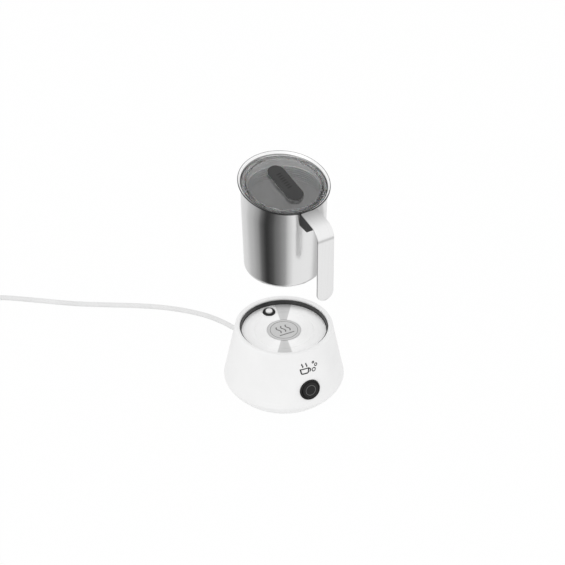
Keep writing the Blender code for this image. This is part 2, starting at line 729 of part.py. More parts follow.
seal_ribs = 6
seal = [(40.5, 246.9)]
for number in range(seal_ribs):
    share = number / (seal_ribs - 1)
    z = 247.6 + 10.4 * share
    seal += [(r, z + dz, 0.5 * share) for r, dz in ((41.3, -0.62), (42.9, -0.2), (42.9, 0.2), (41.3, 0.62))]
seal += [(40.5, z + 0.7, 0.5)]
lathe("lid_seal", seal, SILICONE, ring=True)

LID_TURN = Matrix.Rotation(math.atan(RIM_SLOPE), 3, "X")
bar_place = LID_TURN @ Vector((0, LID_BAR_SHIFT, 0)) + Vector((0, 0, LID_TOP_Z))
obround("lid_bar_base", LID_BAR_HALF, LID_BAR_RADIUS - 0.6, GAP, 2.1, GREY, bar_place, LID_TURN, 0.3)
obround("lid_bar", LID_BAR_HALF, LID_BAR_RADIUS, 2.4, 3.5, BLACK, bar_place, LID_TURN, 0.4)
for number, side in ((1, 1), (2, -1)):
    under = LID_TURN @ Vector((0, side * 14.0, -1.8)) + bar_place
    head = [(0, -1.4), (1.7, -1.4), (2.4, -0.9), (2.4, -GAP), (0, -GAP)]
    lathe(f"lid_screw_{number}", head, STEEL, under, LID_TURN, 14)

# ---------------------------------------------------------------- whisk
whisk_place = Vector((0, 0, JUG_FLOOR_Z))
bush = [(2.3, 1.0), (3.9, 1.0), (4.1, 1.2), (4.1, 7.6), (3.9, 7.8), (2.3, 7.8)]
lathe("whisk_bush", bush, GREY, whisk_place, segments=20, ring=True)
hub = [
    (4.5, 3.6),
    (15.2, 3.6),
    (15.8, 4.0),
    (15.8, 5.6),
    (15.2, 6.2),
    (8.0, 6.6),
    (6.4, 7.6),
    (4.5, 7.6),
]
lathe("whisk_hub", hub, DARK, whisk_place, segments=24, ring=True)
for number, side in ((1, 1), (2, -1)):
    magnet_place = whisk_place + Vector((side * 9.6, 0, 0))
    lathe(f"whisk_magnet_{number}", disc(3.4, 0.8, 3.3, 0.3, 1), NICKEL, magnet_place, segments=16)
coil = []
for i in range(WHISK_TURNS * 6):
    a = 2 * math.pi * i / (WHISK_TURNS * 6)
    b = 2 * math.pi * i / 6
    r = WHISK_RADIUS + WHISK_COIL_RADIUS * math.cos(b)
    z = JUG_FLOOR_Z + 4.8 + WHISK_COIL_RADIUS * math.sin(b)
    coil.append((r * math.cos(a), r * math.sin(a), z))
wire("whisk_coil", coil, WHISK_WIRE, STEEL, 0, cyclic=True)
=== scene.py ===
"""Looks of the electric milk frother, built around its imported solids.

Lengths are in millimetres inside the shape functions and are scaled by MM when a mesh is made.
The row frame: +Z up, origin on the base's axis at the standing surface, the jug's handle along -Y.
"""

import json
import math

import bmesh
import bpy
from mathutils import Matrix, Vector


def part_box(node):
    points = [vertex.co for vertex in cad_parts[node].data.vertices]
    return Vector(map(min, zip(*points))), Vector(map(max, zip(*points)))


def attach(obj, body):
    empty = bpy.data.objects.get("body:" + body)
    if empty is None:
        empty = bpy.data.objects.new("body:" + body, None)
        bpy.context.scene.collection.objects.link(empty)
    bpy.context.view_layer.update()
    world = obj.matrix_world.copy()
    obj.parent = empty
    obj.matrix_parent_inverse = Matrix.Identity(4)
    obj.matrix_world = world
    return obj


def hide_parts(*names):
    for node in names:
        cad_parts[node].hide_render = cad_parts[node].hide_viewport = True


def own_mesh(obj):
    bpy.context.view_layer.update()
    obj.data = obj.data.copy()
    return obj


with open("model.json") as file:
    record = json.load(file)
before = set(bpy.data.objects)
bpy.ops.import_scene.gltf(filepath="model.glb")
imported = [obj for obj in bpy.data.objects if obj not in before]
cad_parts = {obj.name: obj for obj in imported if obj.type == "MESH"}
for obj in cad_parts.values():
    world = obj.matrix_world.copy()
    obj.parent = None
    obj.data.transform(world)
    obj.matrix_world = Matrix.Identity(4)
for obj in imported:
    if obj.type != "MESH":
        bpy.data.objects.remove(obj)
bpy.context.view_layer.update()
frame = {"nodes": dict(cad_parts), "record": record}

MM = 0.001
GAP = 0.3

RECORD = frame["record"]
BODY_OF = {node: body for body, nodes in RECORD["behaviour"]["bodies"].items() for node in nodes}


def size(node):
    """(lowest corner, highest corner) of a CAD node in millimetres."""
    low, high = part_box(node)
    return low / MM, high / MM


# ---------------------------------------------------------------- driving sizes
SHELL_LOW, SHELL_HIGH = size("base_shell")
BASE_HEIGHT = SHELL_HIGH.z
BASE_RADIUS = SHELL_HIGH.x
BASE_WIDEST_Z = 21.6
WALL_LEAN = 0.196
OPENING_RADIUS = 47.1
BASE_TURN = math.radians(-4.5)
TURN = Matrix.Rotation(BASE_TURN, 3, "Z")

PLATE_Z = size("heating_plate")[1].z
PLATE_RADIUS = 45.4
COLLAR_TOP_Z = size("recess_collar")[1].z
COLLAR_INNER_RADIUS = 45.75
BADGE_RADIUS = size("centre_badge")[1].x
GROOVE_RADIUS = 31.7
SENSOR_CENTRE = TURN @ Vector((0, 35.3, 0))

BUTTON_Z = 39.5
BUTTON_RADIUS = 11.4
BUTTON_CAP_RADIUS = 9.3
BUTTON_RING_RADIUS = 5.6

JUG_BOTTOM_Z = size("jug_body")[0].z
JUG_BOTTOM_RADIUS = 41.6
JUG_TOP_RADIUS = 44.5
JUG_CORNER = 9.8
JUG_WALL = 1.0
LIP_START_Z = 263.6
LIP_SEAT_RADIUS = 44.9
JUG_FLOOR_Z = JUG_BOTTOM_Z + JUG_WALL
HEAT_BASE_RADIUS = 26.5
RIM_SLOPE = 0.164
RIM_TURN = Matrix.Rotation(math.atan(RIM_SLOPE), 3, "X")

HANDLE_FACE = -size("handle_strap")[0].y
HANDLE_WIDTH = 19.6
HANDLE_THICKNESS = 1.8
HANDLE_START = 48.5
HANDLE_TOP_Z = 260.4
HANDLE_BEND = 14.0
HANDLE_TIP_Z = size("handle_strap")[0].z
BRACKET_END = 57.6
BRACKET_BOTTOM_Z = 242.0

LID_TOP_Z = 266.4
LID_RADIUS = 43.0
SKIRT_BOTTOM_Z = 245.1
LID_BAR_HALF = 18.6
LID_BAR_SHIFT = -2.6
LID_BAR_RADIUS = 9.0

CORD_RADIUS = 2.8
CORD_EXIT_Z = 12.0
CORD_REST_Z = 2.95
RELIEF_END = 40.6
COIL_CENTRE = Vector((-220.0, 349.6))

FINE = 192
SHARP_ANGLE = 34


# ---------------------------------------------------------------- camera
AZIMUTH = math.radians(-31.5)
ELEVATION = math.radians(36.6)
CAMERA_DISTANCE = 2.52
LOOK_AT = Vector((-0.0013, 0.0008, 0.1403))
SENSOR = 36.0
LENS = 152.9


def make_camera():
    data = bpy.data.cameras.new("camera")
    data.sensor_width = SENSOR
    data.lens = LENS
    data.clip_end = 100.0
    camera = bpy.data.objects.new("camera", data)
    bpy.context.scene.collection.objects.link(camera)
    back = Vector(
        (
            math.sin(AZIMUTH) * math.cos(ELEVATION),
            -math.cos(AZIMUTH) * math.cos(ELEVATION),
            math.sin(ELEVATION),
        )
    )
    camera.location = LOOK_AT + back * CAMERA_DISTANCE
    camera.rotation_mode = "QUATERNION"
    camera.rotation_quaternion = (-back).to_track_quat("-Z", "Y")
    bpy.context.scene.camera = camera


# ---------------------------------------------------------------- shader tools
def add_node(mat, kind, **settings):
    """A node of a material or world, with its properties, and its sockets' values by name."""
    node = mat.node_tree.nodes.new(kind)
    for key, value in settings.items():
        if key in node.inputs:
            node.inputs[key].default_value = value
        else:
            setattr(node, key, value)
    return node


def join(mat, source, output, target, socket):
    mat.node_tree.links.new(source.outputs[output], target.inputs[socket])


def principled(name, **sockets):
    """A material whose Principled shader has these values. Underscores stand for spaces."""
    mat = bpy.data.materials.new(name)
    mat.use_nodes = True
    bsdf = mat.node_tree.nodes["Principled BSDF"]
    for socket, value in sockets.items():
        bsdf.inputs[socket.replace("_", " ")].default_value = value
    return mat


def shader_of(mat):
    return mat.node_tree.nodes["Principled BSDF"]


def noise(mat, scale, detail=3.0, rough=0.5):
    """Noise whose grain is 1 / scale millimetres along each axis."""
    place = add_node(mat, "ShaderNodeTexCoord")
    mapping = add_node(mat, "ShaderNodeMapping", Scale=[s / MM for s in scale])
    join(mat, place, "Object", mapping, "Vector")
    texture = add_node(mat, "ShaderNodeTexNoise", Scale=1.0, Detail=detail, Roughness=rough)
    join(mat, mapping, "Vector", texture, "Vector")
    return texture


def colour_between(mat, source, dark, light, low=0.35, high=0.65):
    """Base colour that wanders between two colours with the source's value."""
    ramp = add_node(mat, "ShaderNodeValToRGB")
    ramp.color_ramp.elements[0].position = low
    ramp.color_ramp.elements[0].color = (*dark, 1.0)
    ramp.color_ramp.elements[1].position = high
    ramp.color_ramp.elements[1].color = (*light, 1.0)
    join(mat, source, "Fac", ramp, "Fac")
    join(mat, ramp, "Color", shader_of(mat), "Base Color")


def roughness_between(mat, source, low, high):
    limits = {"From Min": 0.3, "From Max": 0.7, "To Min": low, "To Max": high}
    span = add_node(mat, "ShaderNodeMapRange", **limits)
    join(mat, source, "Fac", span, "Value")
    join(mat, span, "Result", shader_of(mat), "Roughness")


def bumped(mat, source, depth, strength=1.0, output="Fac"):
    """Bump of that depth in millimetres."""
    bump = add_node(mat, "ShaderNodeBump", Strength=strength, Distance=depth * MM)
    join(mat, source, output, bump, "Height")
    join(mat, bump, "Normal", shader_of(mat), "Normal")


def radial_tangent(mat):
    tangent = add_node(mat, "ShaderNodeTangent", direction_type="RADIAL", axis="Z")
    join(mat, tangent, "Tangent", shader_of(mat), "Tangent")


def object_axes(mat):
    """Object coordinates, in metres, as X, Y and Z."""
    place = add_node(mat, "ShaderNodeTexCoord")
    split = add_node(mat, "ShaderNodeSeparateXYZ")
    join(mat, place, "Object", split, "Vector")
    return split


def ring_noise(mat, radial, around, detail=2.0):
    """Noise drawn out along circles round Z: fine along the radius, long round the circle."""
    split = object_axes(mat)
    flat = add_node(mat, "ShaderNodeCombineXYZ")
    join(mat, split, "X", flat, "X")
    join(mat, split, "Y", flat, "Y")
    length = add_node(mat, "ShaderNodeVectorMath", operation="LENGTH")
    join(mat, flat, "Vector", length, "Vector")
    unit = add_node(mat, "ShaderNodeVectorMath", operation="NORMALIZE")
    join(mat, flat, "Vector", unit, "Vector")
    fine = add_node(mat, "ShaderNodeMath", operation="MULTIPLY")
    fine.inputs[1].default_value = radial / MM
    join(mat, length, "Value", fine, 0)
    coarse = add_node(mat, "ShaderNodeVectorMath", operation="SCALE")
    coarse.inputs["Scale"].default_value = around
    join(mat, unit, "Vector", coarse, "Vector")
    lift = add_node(mat, "ShaderNodeCombineXYZ")
    join(mat, fine, "Value", lift, "Z")
    total = add_node(mat, "ShaderNodeVectorMath", operation="ADD")
    join(mat, coarse, "Vector", total, 0)
    join(mat, lift, "Vector", total, 1)
    texture = add_node(mat, "ShaderNodeTexNoise", Scale=1.0, Detail=detail)
    join(mat, total, "Vector", texture, "Vector")
    return texture


# ---------------------------------------------------------------- materials
def moulded(name, dark, light, rough=(0.36, 0.46), grain=0.35, depth=0.012, **sockets):
    """Moulded plastic: a fine eroded texture, with a slow drift of colour and gloss."""
    mat = principled(name, IOR=1.5, **sockets)
    drift = noise(mat, (0.03, 0.03, 0.03), 4.0)
    colour_between(mat, drift, dark, light)
    roughness_between(mat, drift, *rough)
    texture = noise(mat, (1 / grain, 1 / grain, 1 / grain), 2.0)
    bumped(mat, texture, depth)
    return mat


def drawn_steel(name, dark, light, rough, along, depth=0.004, anisotropy=0.6, metallic=1.0):
    """Steel with fine lines: the scale is small along the lines and large across them."""
    mat = principled(name, Metallic=metallic, Anisotropic=anisotropy)
    lines = noise(mat, along, 3.0, 0.6)
    colour_between(mat, lines, dark, light, 0.3, 0.7)
    roughness_between(mat, lines, *rough)
    bumped(mat, lines, depth)
    radial_tangent(mat)
    return mat


def turned_steel(name, dark, light, rough, radial=6.0, depth=0.004, anisotropy=0.75, metallic=1.0):
    """Steel faced on a lathe: lines run in circles round the axis."""
    mat = principled(name, Metallic=metallic, Anisotropic=anisotropy)
    lines = ring_noise(mat, radial, 2.5, 3.0)
    colour_between(mat, lines, dark, light, 0.3, 0.7)
    roughness_between(mat, lines, *rough)
    bumped(mat, lines, depth)
    radial_tangent(mat)
    return mat


def plated(name, dark, light, rough, metallic=1.0):
    """Plated or bare metal with faint handling marks."""
    mat = principled(name, Metallic=metallic)
    marks = noise(mat, (0.8, 0.8, 0.8), 5.0, 0.65)
    colour_between(mat, marks, dark, light)
    roughness_between(mat, marks, *rough)
    bumped(mat, marks, 0.006)
    return mat


def grey(value, warm=0.0):
    return (value * (1 + warm), value, value * (1 - warm))


MATERIALS = {
    "white": moulded("white_shell", grey(0.845), grey(0.87), (0.40, 0.48), 0.5, 0.008),
    "collar": moulded("dark_recess", grey(0.024), grey(0.036), (0.34, 0.46), 0.4),
    "black": moulded("black_soft", grey(0.006), grey(0.011), (0.50, 0.62), 0.3, Specular_IOR_Level=0.3),
    "bracket": moulded("black_bracket", grey(0.026), grey(0.038), (0.45, 0.6), 0.3),
    "bar": moulded("black_bar", grey(0.016), grey(0.026), (0.50, 0.62), 0.25, 0.02),
    "grey": moulded("grey_plastic", grey(0.36), grey(0.42)),
    "dark": moulded("dark_plastic", grey(0.03), grey(0.05), (0.45, 0.6)),
    "bar_base": moulded("bar_base_plastic", grey(0.12), grey(0.16), (0.4, 0.5)),
    "button_ring": moulded("ring_lens", grey(0.09), grey(0.12), (0.3, 0.4)),
    "cap": moulded("sensor_white", grey(0.82), grey(0.87), (0.14, 0.22), 0.5, 0.003),
    "cord": moulded("cord_sheath", grey(0.73), grey(0.78), (0.40, 0.52), 0.6, 0.02),
    "foot": moulded("foot_rubber", grey(0.022), grey(0.035), (0.7, 0.85), 0.3, 0.03),
    "print": moulded("dark_print", grey(0.012), grey(0.02), (0.4, 0.5), 0.4, 0.002),
    "faint_print": moulded("grey_print", grey(0.11), grey(0.15), (0.4, 0.5), 0.4, 0.002),
    "ceramic": moulded("ceramic", grey(0.62, 0.04), grey(0.72, 0.04), (0.6, 0.8), 0.8, 0.04),
    "board": moulded("circuit_board", (0.02, 0.12, 0.05), (0.03, 0.17, 0.075), (0.3, 0.4), 1.2, 0.03),
    "jug": drawn_steel("jug_steel", grey(0.82), grey(0.88), (0.13, 0.18), (0.012, 0.012, 9.0)),
    "inside": drawn_steel(
        "jug_inside_steel", grey(0.90), grey(0.96), (0.42, 0.52), (0.012, 0.012, 6.0), metallic=0.6
    ),
    # A lighter, less metallic copy of the jug's steel: painted highlight on the rim's top.
    "lip": plated("lip_painted_highlight", grey(0.94), grey(0.98), (0.28, 0.36), 0.35),
    # A grey copy of the jug's steel: a painted shade line where the lid sits in the rim.
    "lip_seat": plated("lip_seat_painted_shade", grey(0.26), grey(0.34), (0.24, 0.32)),
    # A near-black copy of the jug's steel: painted shade on the lip's outer flare and outer edge.
    "flare": plated("flare_painted_shade", grey(0.07), grey(0.10), (0.24, 0.32)),
    "heat_base": turned_steel("heat_base_steel", grey(0.90), grey(0.96), (0.36, 0.44), metallic=0.6),
    "badge": turned_steel("badge_metal", grey(0.60), grey(0.68), (0.40, 0.5), 4.0, 0.004, 0.3),
    "steel": plated("bare_steel", grey(0.62), grey(0.72), (0.22, 0.34)),
    "nickel": plated("nickel", grey(0.60, 0.03), grey(0.70, 0.03), (0.18, 0.30)),
}


def smoked(name, tint, rough):
    """Clear smoked plastic with faint scuffs in its gloss."""
    mat = principled(name, IOR=1.49, Transmission_Weight=1.0)
    scuffs = noise(mat, (0.05, 0.05, 0.05), 5.0, 0.6)
    colour_between(mat, scuffs, grey(tint * 0.96), grey(tint))
    roughness_between(mat, scuffs, *rough)
    return mat


def graded(mat, source, output, stops):
    """A ramp of greys that follows the source's value, from (value, grey) stops."""
    low, high = stops[0][0], stops[-1][0]
    span = add_node(mat, "ShaderNodeMapRange", **{"From Min": low, "From Max": high})
    join(mat, source, output, span, "Value")
    ramp = add_node(mat, "ShaderNodeValToRGB")
    elements = ramp.color_ramp.elements
    for number, (value, shade) in enumerate(stops):
        position = (value - low) / (high - low)
        element = elements[number] if number < 2 else elements.new(position)
        element.position = position
        element.color = (*grey(shade), 1.0)
    join(mat, span, "Result", ramp, "Fac")
    return ramp


def shaded_by(mat, ramp):
    """Multiplies the material's colour by the ramp's grey."""
    bsdf = shader_of(mat)
    before = bsdf.inputs["Base Color"].links[0].from_socket
    mix = add_node(mat, "ShaderNodeMix", data_type="RGBA", blend_type="MULTIPLY")
    mix.inputs[0].default_value = 1.0
    mat.node_tree.links.new(before, mix.inputs[6])
    join(mat, ramp, "Color", mix, 7)
    join(mat, mix, 2, bsdf, "Base Color")


def strap_steel_painted_reflection():
    """Brushed strip, with painted reflection in its colour: painted darker near the rim, lighter towards its
    bend, and a painted shade line along the fold.
    """
    mat = drawn_steel("strap_steel_painted_reflection", grey(0.92), grey(0.98), (0.26, 0.34), (8.0, 0.02, 0.02), 0.004, 0.3)
    # Painted reflection: the colour is painted darker towards the rim and lighter towards the bend, along
    # the strap's Y.
    reach = ((-0.081, 1.0), (-0.073, 0.95), (-0.064, 0.74), (-0.056, 0.54), (-0.048, 0.36))
    shaded_by(mat, graded(mat, object_axes(mat), "Y", reach))
    # Painted shade: a darker line along the strap's bend, set by height.
    fold_painted_shade = ((0.160, 0.95), (0.2415, 0.95), (0.2440, 0.64), (0.2465, 0.97), (0.262, 0.97))
    shaded_by(mat, graded(mat, object_axes(mat), "Z", fold_painted_shade))
    return mat


# Middles and half width, in degrees, of the two dark fans painted into the plate's colour as painted shade,
# with painted highlight beside them.
WEDGE_HALF = 11.5
BACK_WEDGE = 60.0
FRONT_WEDGE = -120.0


def plate_steel_painted_fans():
    """Lathe-faced steel: fine rings, and the fans of light and shade that such a face throws, painted into
    its colour by the angle round the axis.
    """
    mat = principled("plate_steel_painted_fans", Metallic=0.4, Anisotropic=0.5)
    lines = ring_noise(mat, 5.0, 2.5, 3.0)
    colour_between(mat, lines, grey(0.93), grey(1.0), 0.3, 0.7)
    roughness_between(mat, lines, 0.34, 0.42)
    bumped(mat, lines, 0.002)
    radial_tangent(mat)
    split = object_axes(mat)
    angle = add_node(mat, "ShaderNodeMath", operation="ARCTAN2")
    join(mat, split, "Y", angle, 0)
    join(mat, split, "X", angle, 1)
    # Painted highlight and shade: greys by angle round the axis, multiplied into the plate's colour.
    painted_fans = [(-180.0, 0.95), (-150.0, 0.98), (-60.0, 0.94), (-30.0, 0.92)]
    painted_fans += [(degrees, 0.95) for degrees in (0.0, 120.0, 180.0)]
    for middle in (FRONT_WEDGE, BACK_WEDGE):
        for side in (-1, 1):
            painted_fans += [(middle + side * (WEDGE_HALF + reach), 1.0) for reach in (0.5, 16.0)]
            painted_fans.append((middle + side * (WEDGE_HALF - 0.5), 0.66))
        painted_fans.append((middle, 0.63))
    turns = [(math.radians(degrees), shade) for degrees, shade in sorted(painted_fans)]
    shaded_by(mat, graded(mat, angle, "Value", turns))
    return mat


MATERIALS["strap"] = strap_steel_painted_reflection()
MATERIALS["plate"] = plate_steel_painted_fans()
MATERIALS["smoke"] = smoked("smoked_clear", 1.0, (0.02, 0.05))
MATERIALS["seal"] = moulded(
    "seal_silicone",
    grey(0.82),
    grey(0.88),
    (0.22, 0.30),
    grain=0.4,
    depth=0.01,
    Subsurface_Weight=0.2,
    Subsurface_Scale=0.002,
)


# ---------------------------------------------------------------- mesh tools
def soften(points, steps=6, closed=False):
    """Points (r, z), or (r, z, radius) for a corner that becomes an arc of that radius."""
    found = []
    last = len(points) - 1
    for i, point in enumerate(points):
        here = Vector(point[:2])
        radius = point[2] if len(point) > 2 else 0.0
        if radius <= 0 or (not closed and i in (0, last)):
            found.append(tuple(here))
            continue
        before = Vector(points[i - 1][:2]) - here
        after = Vector(points[(i + 1) % len(points)][:2]) - here
        half = before.angle(after) / 2
        reach = min(radius / math.tan(half), before.length * 0.49, after.length * 0.49)
        radius = reach * math.tan(half)
        start = here + before.normalized() * reach
        end = here + after.normalized() * reach
        centre = here + (before.normalized() + after.normalized()).normalized() * radius / math.sin(half)
        for k in range(steps + 1):
            spoke = (start - centre).lerp(end - centre, k / steps)
            found.append(tuple(centre + spoke.normalized() * radius))
    return found


def through(points, steps=6):
    """Points on a Catmull-Rom curve through the given ones, of any dimension."""
    pts = [Vector(p) for p in points]
    pts = [2 * pts[0] - pts[1]] + pts + [2 * pts[-1] - pts[-2]]
    found = []
    for a, b, c, d in zip(pts, pts[1:], pts[2:], pts[3:]):
        for i in range(steps):
            t = i / steps
            bend = 2 * a - 5 * b + 4 * c - d
            found.append(0.5 * (2 * b + (c - a) * t + bend * t * t + (3 * b - a - 3 * c + d) * t**3))
    found.append(pts[-2])
    return [tuple(p) for p in found]


def slanted(points):
    """The same points in the tilted frame of the jug's rim."""
    return [(p[0], p[1], 1.0) for p in points]


def turned(profile, segments=FINE, ring=False):
    """A mesh of (r, z) or (r, z, slant) points turned round Z."""
    bm = bmesh.new()
    rows = []
    for point in profile:
        r, z = point[0], point[1]
        slant = point[2] if len(point) > 2 else 0.0
        if r == 0:
            rows.append([bm.verts.new((0, 0, z))])
            continue
        row = []
        for i in range(segments):
            a = 2 * math.pi * i / segments
            y = r * math.sin(a)
            row.append(bm.verts.new((r * math.cos(a), y, z + slant * RIM_SLOPE * y)))
        rows.append(row)
    pairs = list(zip(rows, rows[1:]))
    if ring:
        pairs.append((rows[-1], rows[0]))
    for low, high in pairs:
        for i in range(segments):
            j = (i + 1) % segments
            corners = [low[i % len(low)], low[j % len(low)], high[j % len(high)], high[i % len(high)]]
            bm.faces.new(list(dict.fromkeys(corners)))
    return bm


def placed(bm, at=(0, 0, 0), turn=None):
    """Moves a mesh, still in millimetres, to its place."""
    matrix = Matrix.Translation(Vector(at))
    if turn is not None:
        matrix = matrix @ turn.to_4x4()
    bmesh.ops.transform(bm, matrix=matrix, verts=bm.verts)
    return bm


def skinned(bm, rows):
    """Joins rows of the same number of points with faces, and closes both ends."""
    for low, high in zip(rows, rows[1:]):
        for i in range(len(low)):
            j = (i + 1) % len(low)
            bm.faces.new((low[i], low[j], high[j], high[i]))
    bm.faces.new(rows[0])
    bm.faces.new(rows[-1])


def smooth_but_for(mesh, sharp=SHARP_ANGLE):
    """Smooth shading, apart from edges sharper than that angle in degrees."""
    mesh.shade_smooth()
    mesh.set_sharp_from_angle(angle=math.radians(sharp))


def to_object(name, bm, look, sharp=SHARP_ANGLE):
    bmesh.ops.recalc_face_normals(bm, faces=bm.faces)
    bmesh.ops.scale(bm, vec=(MM, MM, MM), verts=bm.verts)
    mesh = bpy.data.meshes.new(name)
    bm.to_mesh(mesh)
    bm.free()
    smooth_but_for(mesh, sharp)
    if look is not None:
        mesh.materials.append(MATERIALS[look])
    obj = bpy.data.objects.new(name, mesh)
    bpy.context.scene.collection.objects.link(obj)
    return obj


def carve(obj, cutter):
    """Takes the cutter's mesh out of the object for good."""
    modifier = obj.modifiers.new("carve", "BOOLEAN")
    modifier.solver = "EXACT"
    modifier.object = cutter
    graph = bpy.context.evaluated_depsgraph_get()
    carved = bpy.data.meshes.new_from_object(obj.evaluated_get(graph))
    obj.modifiers.clear()
    obj.data = carved
    bpy.data.objects.remove(cutter, do_unlink=True)


def bored(obj, radius, low, high, segments=96, at=(0, 0, 0), turn=None):
    """Cuts a round hole along Z, before the place and turn."""
    hole = turned([(0, low), (radius, low), (radius, high), (0, high)], segments)
    carve(obj, to_object("hole_cutter", placed(hole, at, turn), None))


def even_shading(obj):
    """Large faces decide the normals, so that a cut edge leaves no mark on the shading."""
    modifier = obj.modifiers.new("even_shading", "WEIGHTED_NORMAL")
    modifier.keep_sharp = True
    modifier.weight = 80


def stands_for(obj, node):
    """The piece replaces a CAD node and moves as that node does."""
    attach(obj, BODY_OF[node])
    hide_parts(node)
    return obj


def fine(node, bm, look, sharp=SHARP_ANGLE):
    return stands_for(to_object(node + "_fine", bm, look, sharp), node)


def lathed(node, profile, look, steps=6, segments=96, ring=False, at=(0, 0, 0), turn=None):
    """A fine piece turned from a profile with softened corners, and put in its place."""
    return fine(node, placed(turned(soften(profile, steps, ring), segments, ring), at, turn), look)


def detail(name, bm, look, node, slot):
    """A piece that CAD doesn't have, on the body of a node."""
    obj = to_object(name, bm, look)
    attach(obj, BODY_OF[node])
    return obj


def ribbon(bm, line, width, onto, thickness=0.07, sunk=0.05):
    """A flat strip along 2-D points, laid on a surface by onto(u, v, lift)."""
    rows = []
    for i, (u, v) in enumerate(line):
        u0, v0 = line[max(i - 1, 0)]
        u1, v1 = line[min(i + 1, len(line) - 1)]
        along = Vector((u1 - u0, v1 - v0)).normalized()
        side = Vector((-along.y, along.x)) * width / 2
        ends = ((1, thickness), (-1, thickness), (-1, -sunk), (1, -sunk))
        rows.append([bm.verts.new(onto(u + side.x * s, v + side.y * s, lift)) for s, lift in ends])
    skinned(bm, rows)


def arc(u, v, radius, start, end, steps=16):
    """2-D points on an arc, angles in degrees."""
    turns = [math.radians(start + (end - start) * i / steps) for i in range(steps + 1)]
    return [(u + radius * math.cos(a), v + radius * math.sin(a)) for a in turns]


def wave(u, v, height, sway, steps=18):
    """An upright line that sways once to each side."""
    found = []
    for i in range(steps + 1):
        t = i / steps
        found.append((u + sway * math.sin(2 * math.pi * t), v + height * t))
    return found


def round_line(name, points, radius, look, roundness=3, closed=False):
    """A cord or wire along points in millimetres, as a curve object."""
    curve = bpy.data.curves.new(name, "CURVE")
    curve.dimensions = "3D"
    curve.bevel_depth = radius * MM
    curve.bevel_resolution = roundness
    curve.use_fill_caps = not closed
    spline = curve.splines.new("POLY")
    spline.points.add(len(points) - 1)
    for point, place in zip(spline.points, points):
        point.co = (*(c * MM for c in place), 1.0)
    spline.use_cyclic_u = closed
    spline.use_smooth = True
    curve.materials.append(MATERIALS[look])
    obj = bpy.data.objects.new(name, curve)
    bpy.context.scene.collection.objects.link(obj)
    return obj


def about_axis(point):
    """A point of the base, given with the button along -Y, after the base's turn."""
    return TURN @ Vector(point)


# ---------------------------------------------------------------- base
def wall_radius(z):
    return BASE_RADIUS - WALL_LEAN * (z - BASE_WIDEST_Z)


BUTTON_NORMAL = about_axis((0, -1, WALL_LEAN)).normalized()
BUTTON_PLACE = about_axis((0, -wall_radius(BUTTON_Z), BUTTON_Z))
BUTTON_TURN = BUTTON_NORMAL.to_track_quat("Z", "Y").to_matrix()
EXIT_PLACE = about_axis((0, 40, CORD_EXIT_Z))
EXIT_TURN = TURN @ Matrix.Rotation(math.radians(-90), 3, "X")


def base_shell():
    top = BASE_HEIGHT
    outer_top = wall_radius(top)
    underside = [
        (46.2, SHELL_LOW.z), (48.1, 2.15), (52.4, 5.0), (57.0, 9.3), (60.8, 13.6), (63.0, 17.0),
        (64.1, 19.2), (64.6, 20.9), (BASE_RADIUS - 0.02, 22.2), (BASE_RADIUS - 0.3, 24.0),
        (wall_radius(28.0), 28.0),
    ]
    wall = [(wall_radius(z), z) for z in (34.0, 40.0, 46.0, 52.0, 58.0, 64.0, 70.0, 76.0)]
    mouth = soften(
        [
            (wall_radius(79.0), 79.0), (outer_top, top, 2.2), (OPENING_RADIUS, top, 1.7),
            (OPENING_RADIUS, top - 4.2), (OPENING_RADIUS + 1.9, top - 4.6),
            (outer_top - 1.7, top - 6.4), (BASE_RADIUS - 2.6 - WALL_LEAN * 38.4, 60.0),
            (BASE_RADIUS - 2.8, 24.0, 6.0), (58.6, 15.4, 6.0), (45.2, 3.4), (44.2, SHELL_LOW.z),
        ],
        8,
    )
    shell = to_object("base_shell_fine", turned(through(underside, 4) + wall + mouth, FINE, True), "white")
    bored(shell, BUTTON_RADIUS + GAP, -9, 9, at=BUTTON_PLACE, turn=BUTTON_TURN)
    bored(shell, 5.3, 0, 40, 64, EXIT_PLACE, EXIT_TURN)
    smooth_but_for(shell.data)
    even_shading(shell)
    stands_for(shell, "base_shell")


def recess_collar():
    low, high = size("recess_collar")
    shelf = PLATE_Z - 1.8
    profile = [
        (high.x, low.z),
        (high.x, COLLAR_TOP_Z, 0.25),
        (COLLAR_INNER_RADIUS, COLLAR_TOP_Z, 0.25),
        (COLLAR_INNER_RADIUS, shelf, 0.2),
        (44.0, shelf),
        (44.0, low.z),
    ]
    lathed("recess_collar", profile, "collar", 4, FINE, True)


def heating_plate():
    top, under = PLATE_Z, size("heating_plate")[0].z
    profile = [
        (0, under),
        (PLATE_RADIUS, under),
        (PLATE_RADIUS, top, 0.4),
        (GROOVE_RADIUS + 0.5, top, 0.15),
        (GROOVE_RADIUS + 0.15, top - 0.25, 0.1),
        (GROOVE_RADIUS - 0.15, top - 0.25, 0.1),
        (GROOVE_RADIUS - 0.5, top, 0.15),
        (BADGE_RADIUS + GAP + 0.3, top, 0.2),
        (BADGE_RADIUS + GAP, top - 0.75),
        (0, top - 0.75),
    ]
    plate = to_object("heating_plate_fine", turned(soften(profile, 4)), "plate")
    bored(plate, 7.0, 70, 84, at=SENSOR_CENTRE)
    smooth_but_for(plate.data)
    even_shading(plate)
    stands_for(plate, "heating_plate")


def centre_badge():
    top, rim = PLATE_Z + 0.05, BADGE_RADIUS
    profile = [
        (0, PLATE_Z - 0.45),
        (rim - 0.1, PLATE_Z - 0.45),
        (rim, top, 0.2),
        (rim - 1.5, top, 0.05),
        (rim - 1.7, top - 0.13, 0.05),
        (rim - 2.0, top - 0.13, 0.05),
        (rim - 2.2, top, 0.05),
        (0, top),
    ]
    lathed("centre_badge", profile, "badge", 3, FINE)


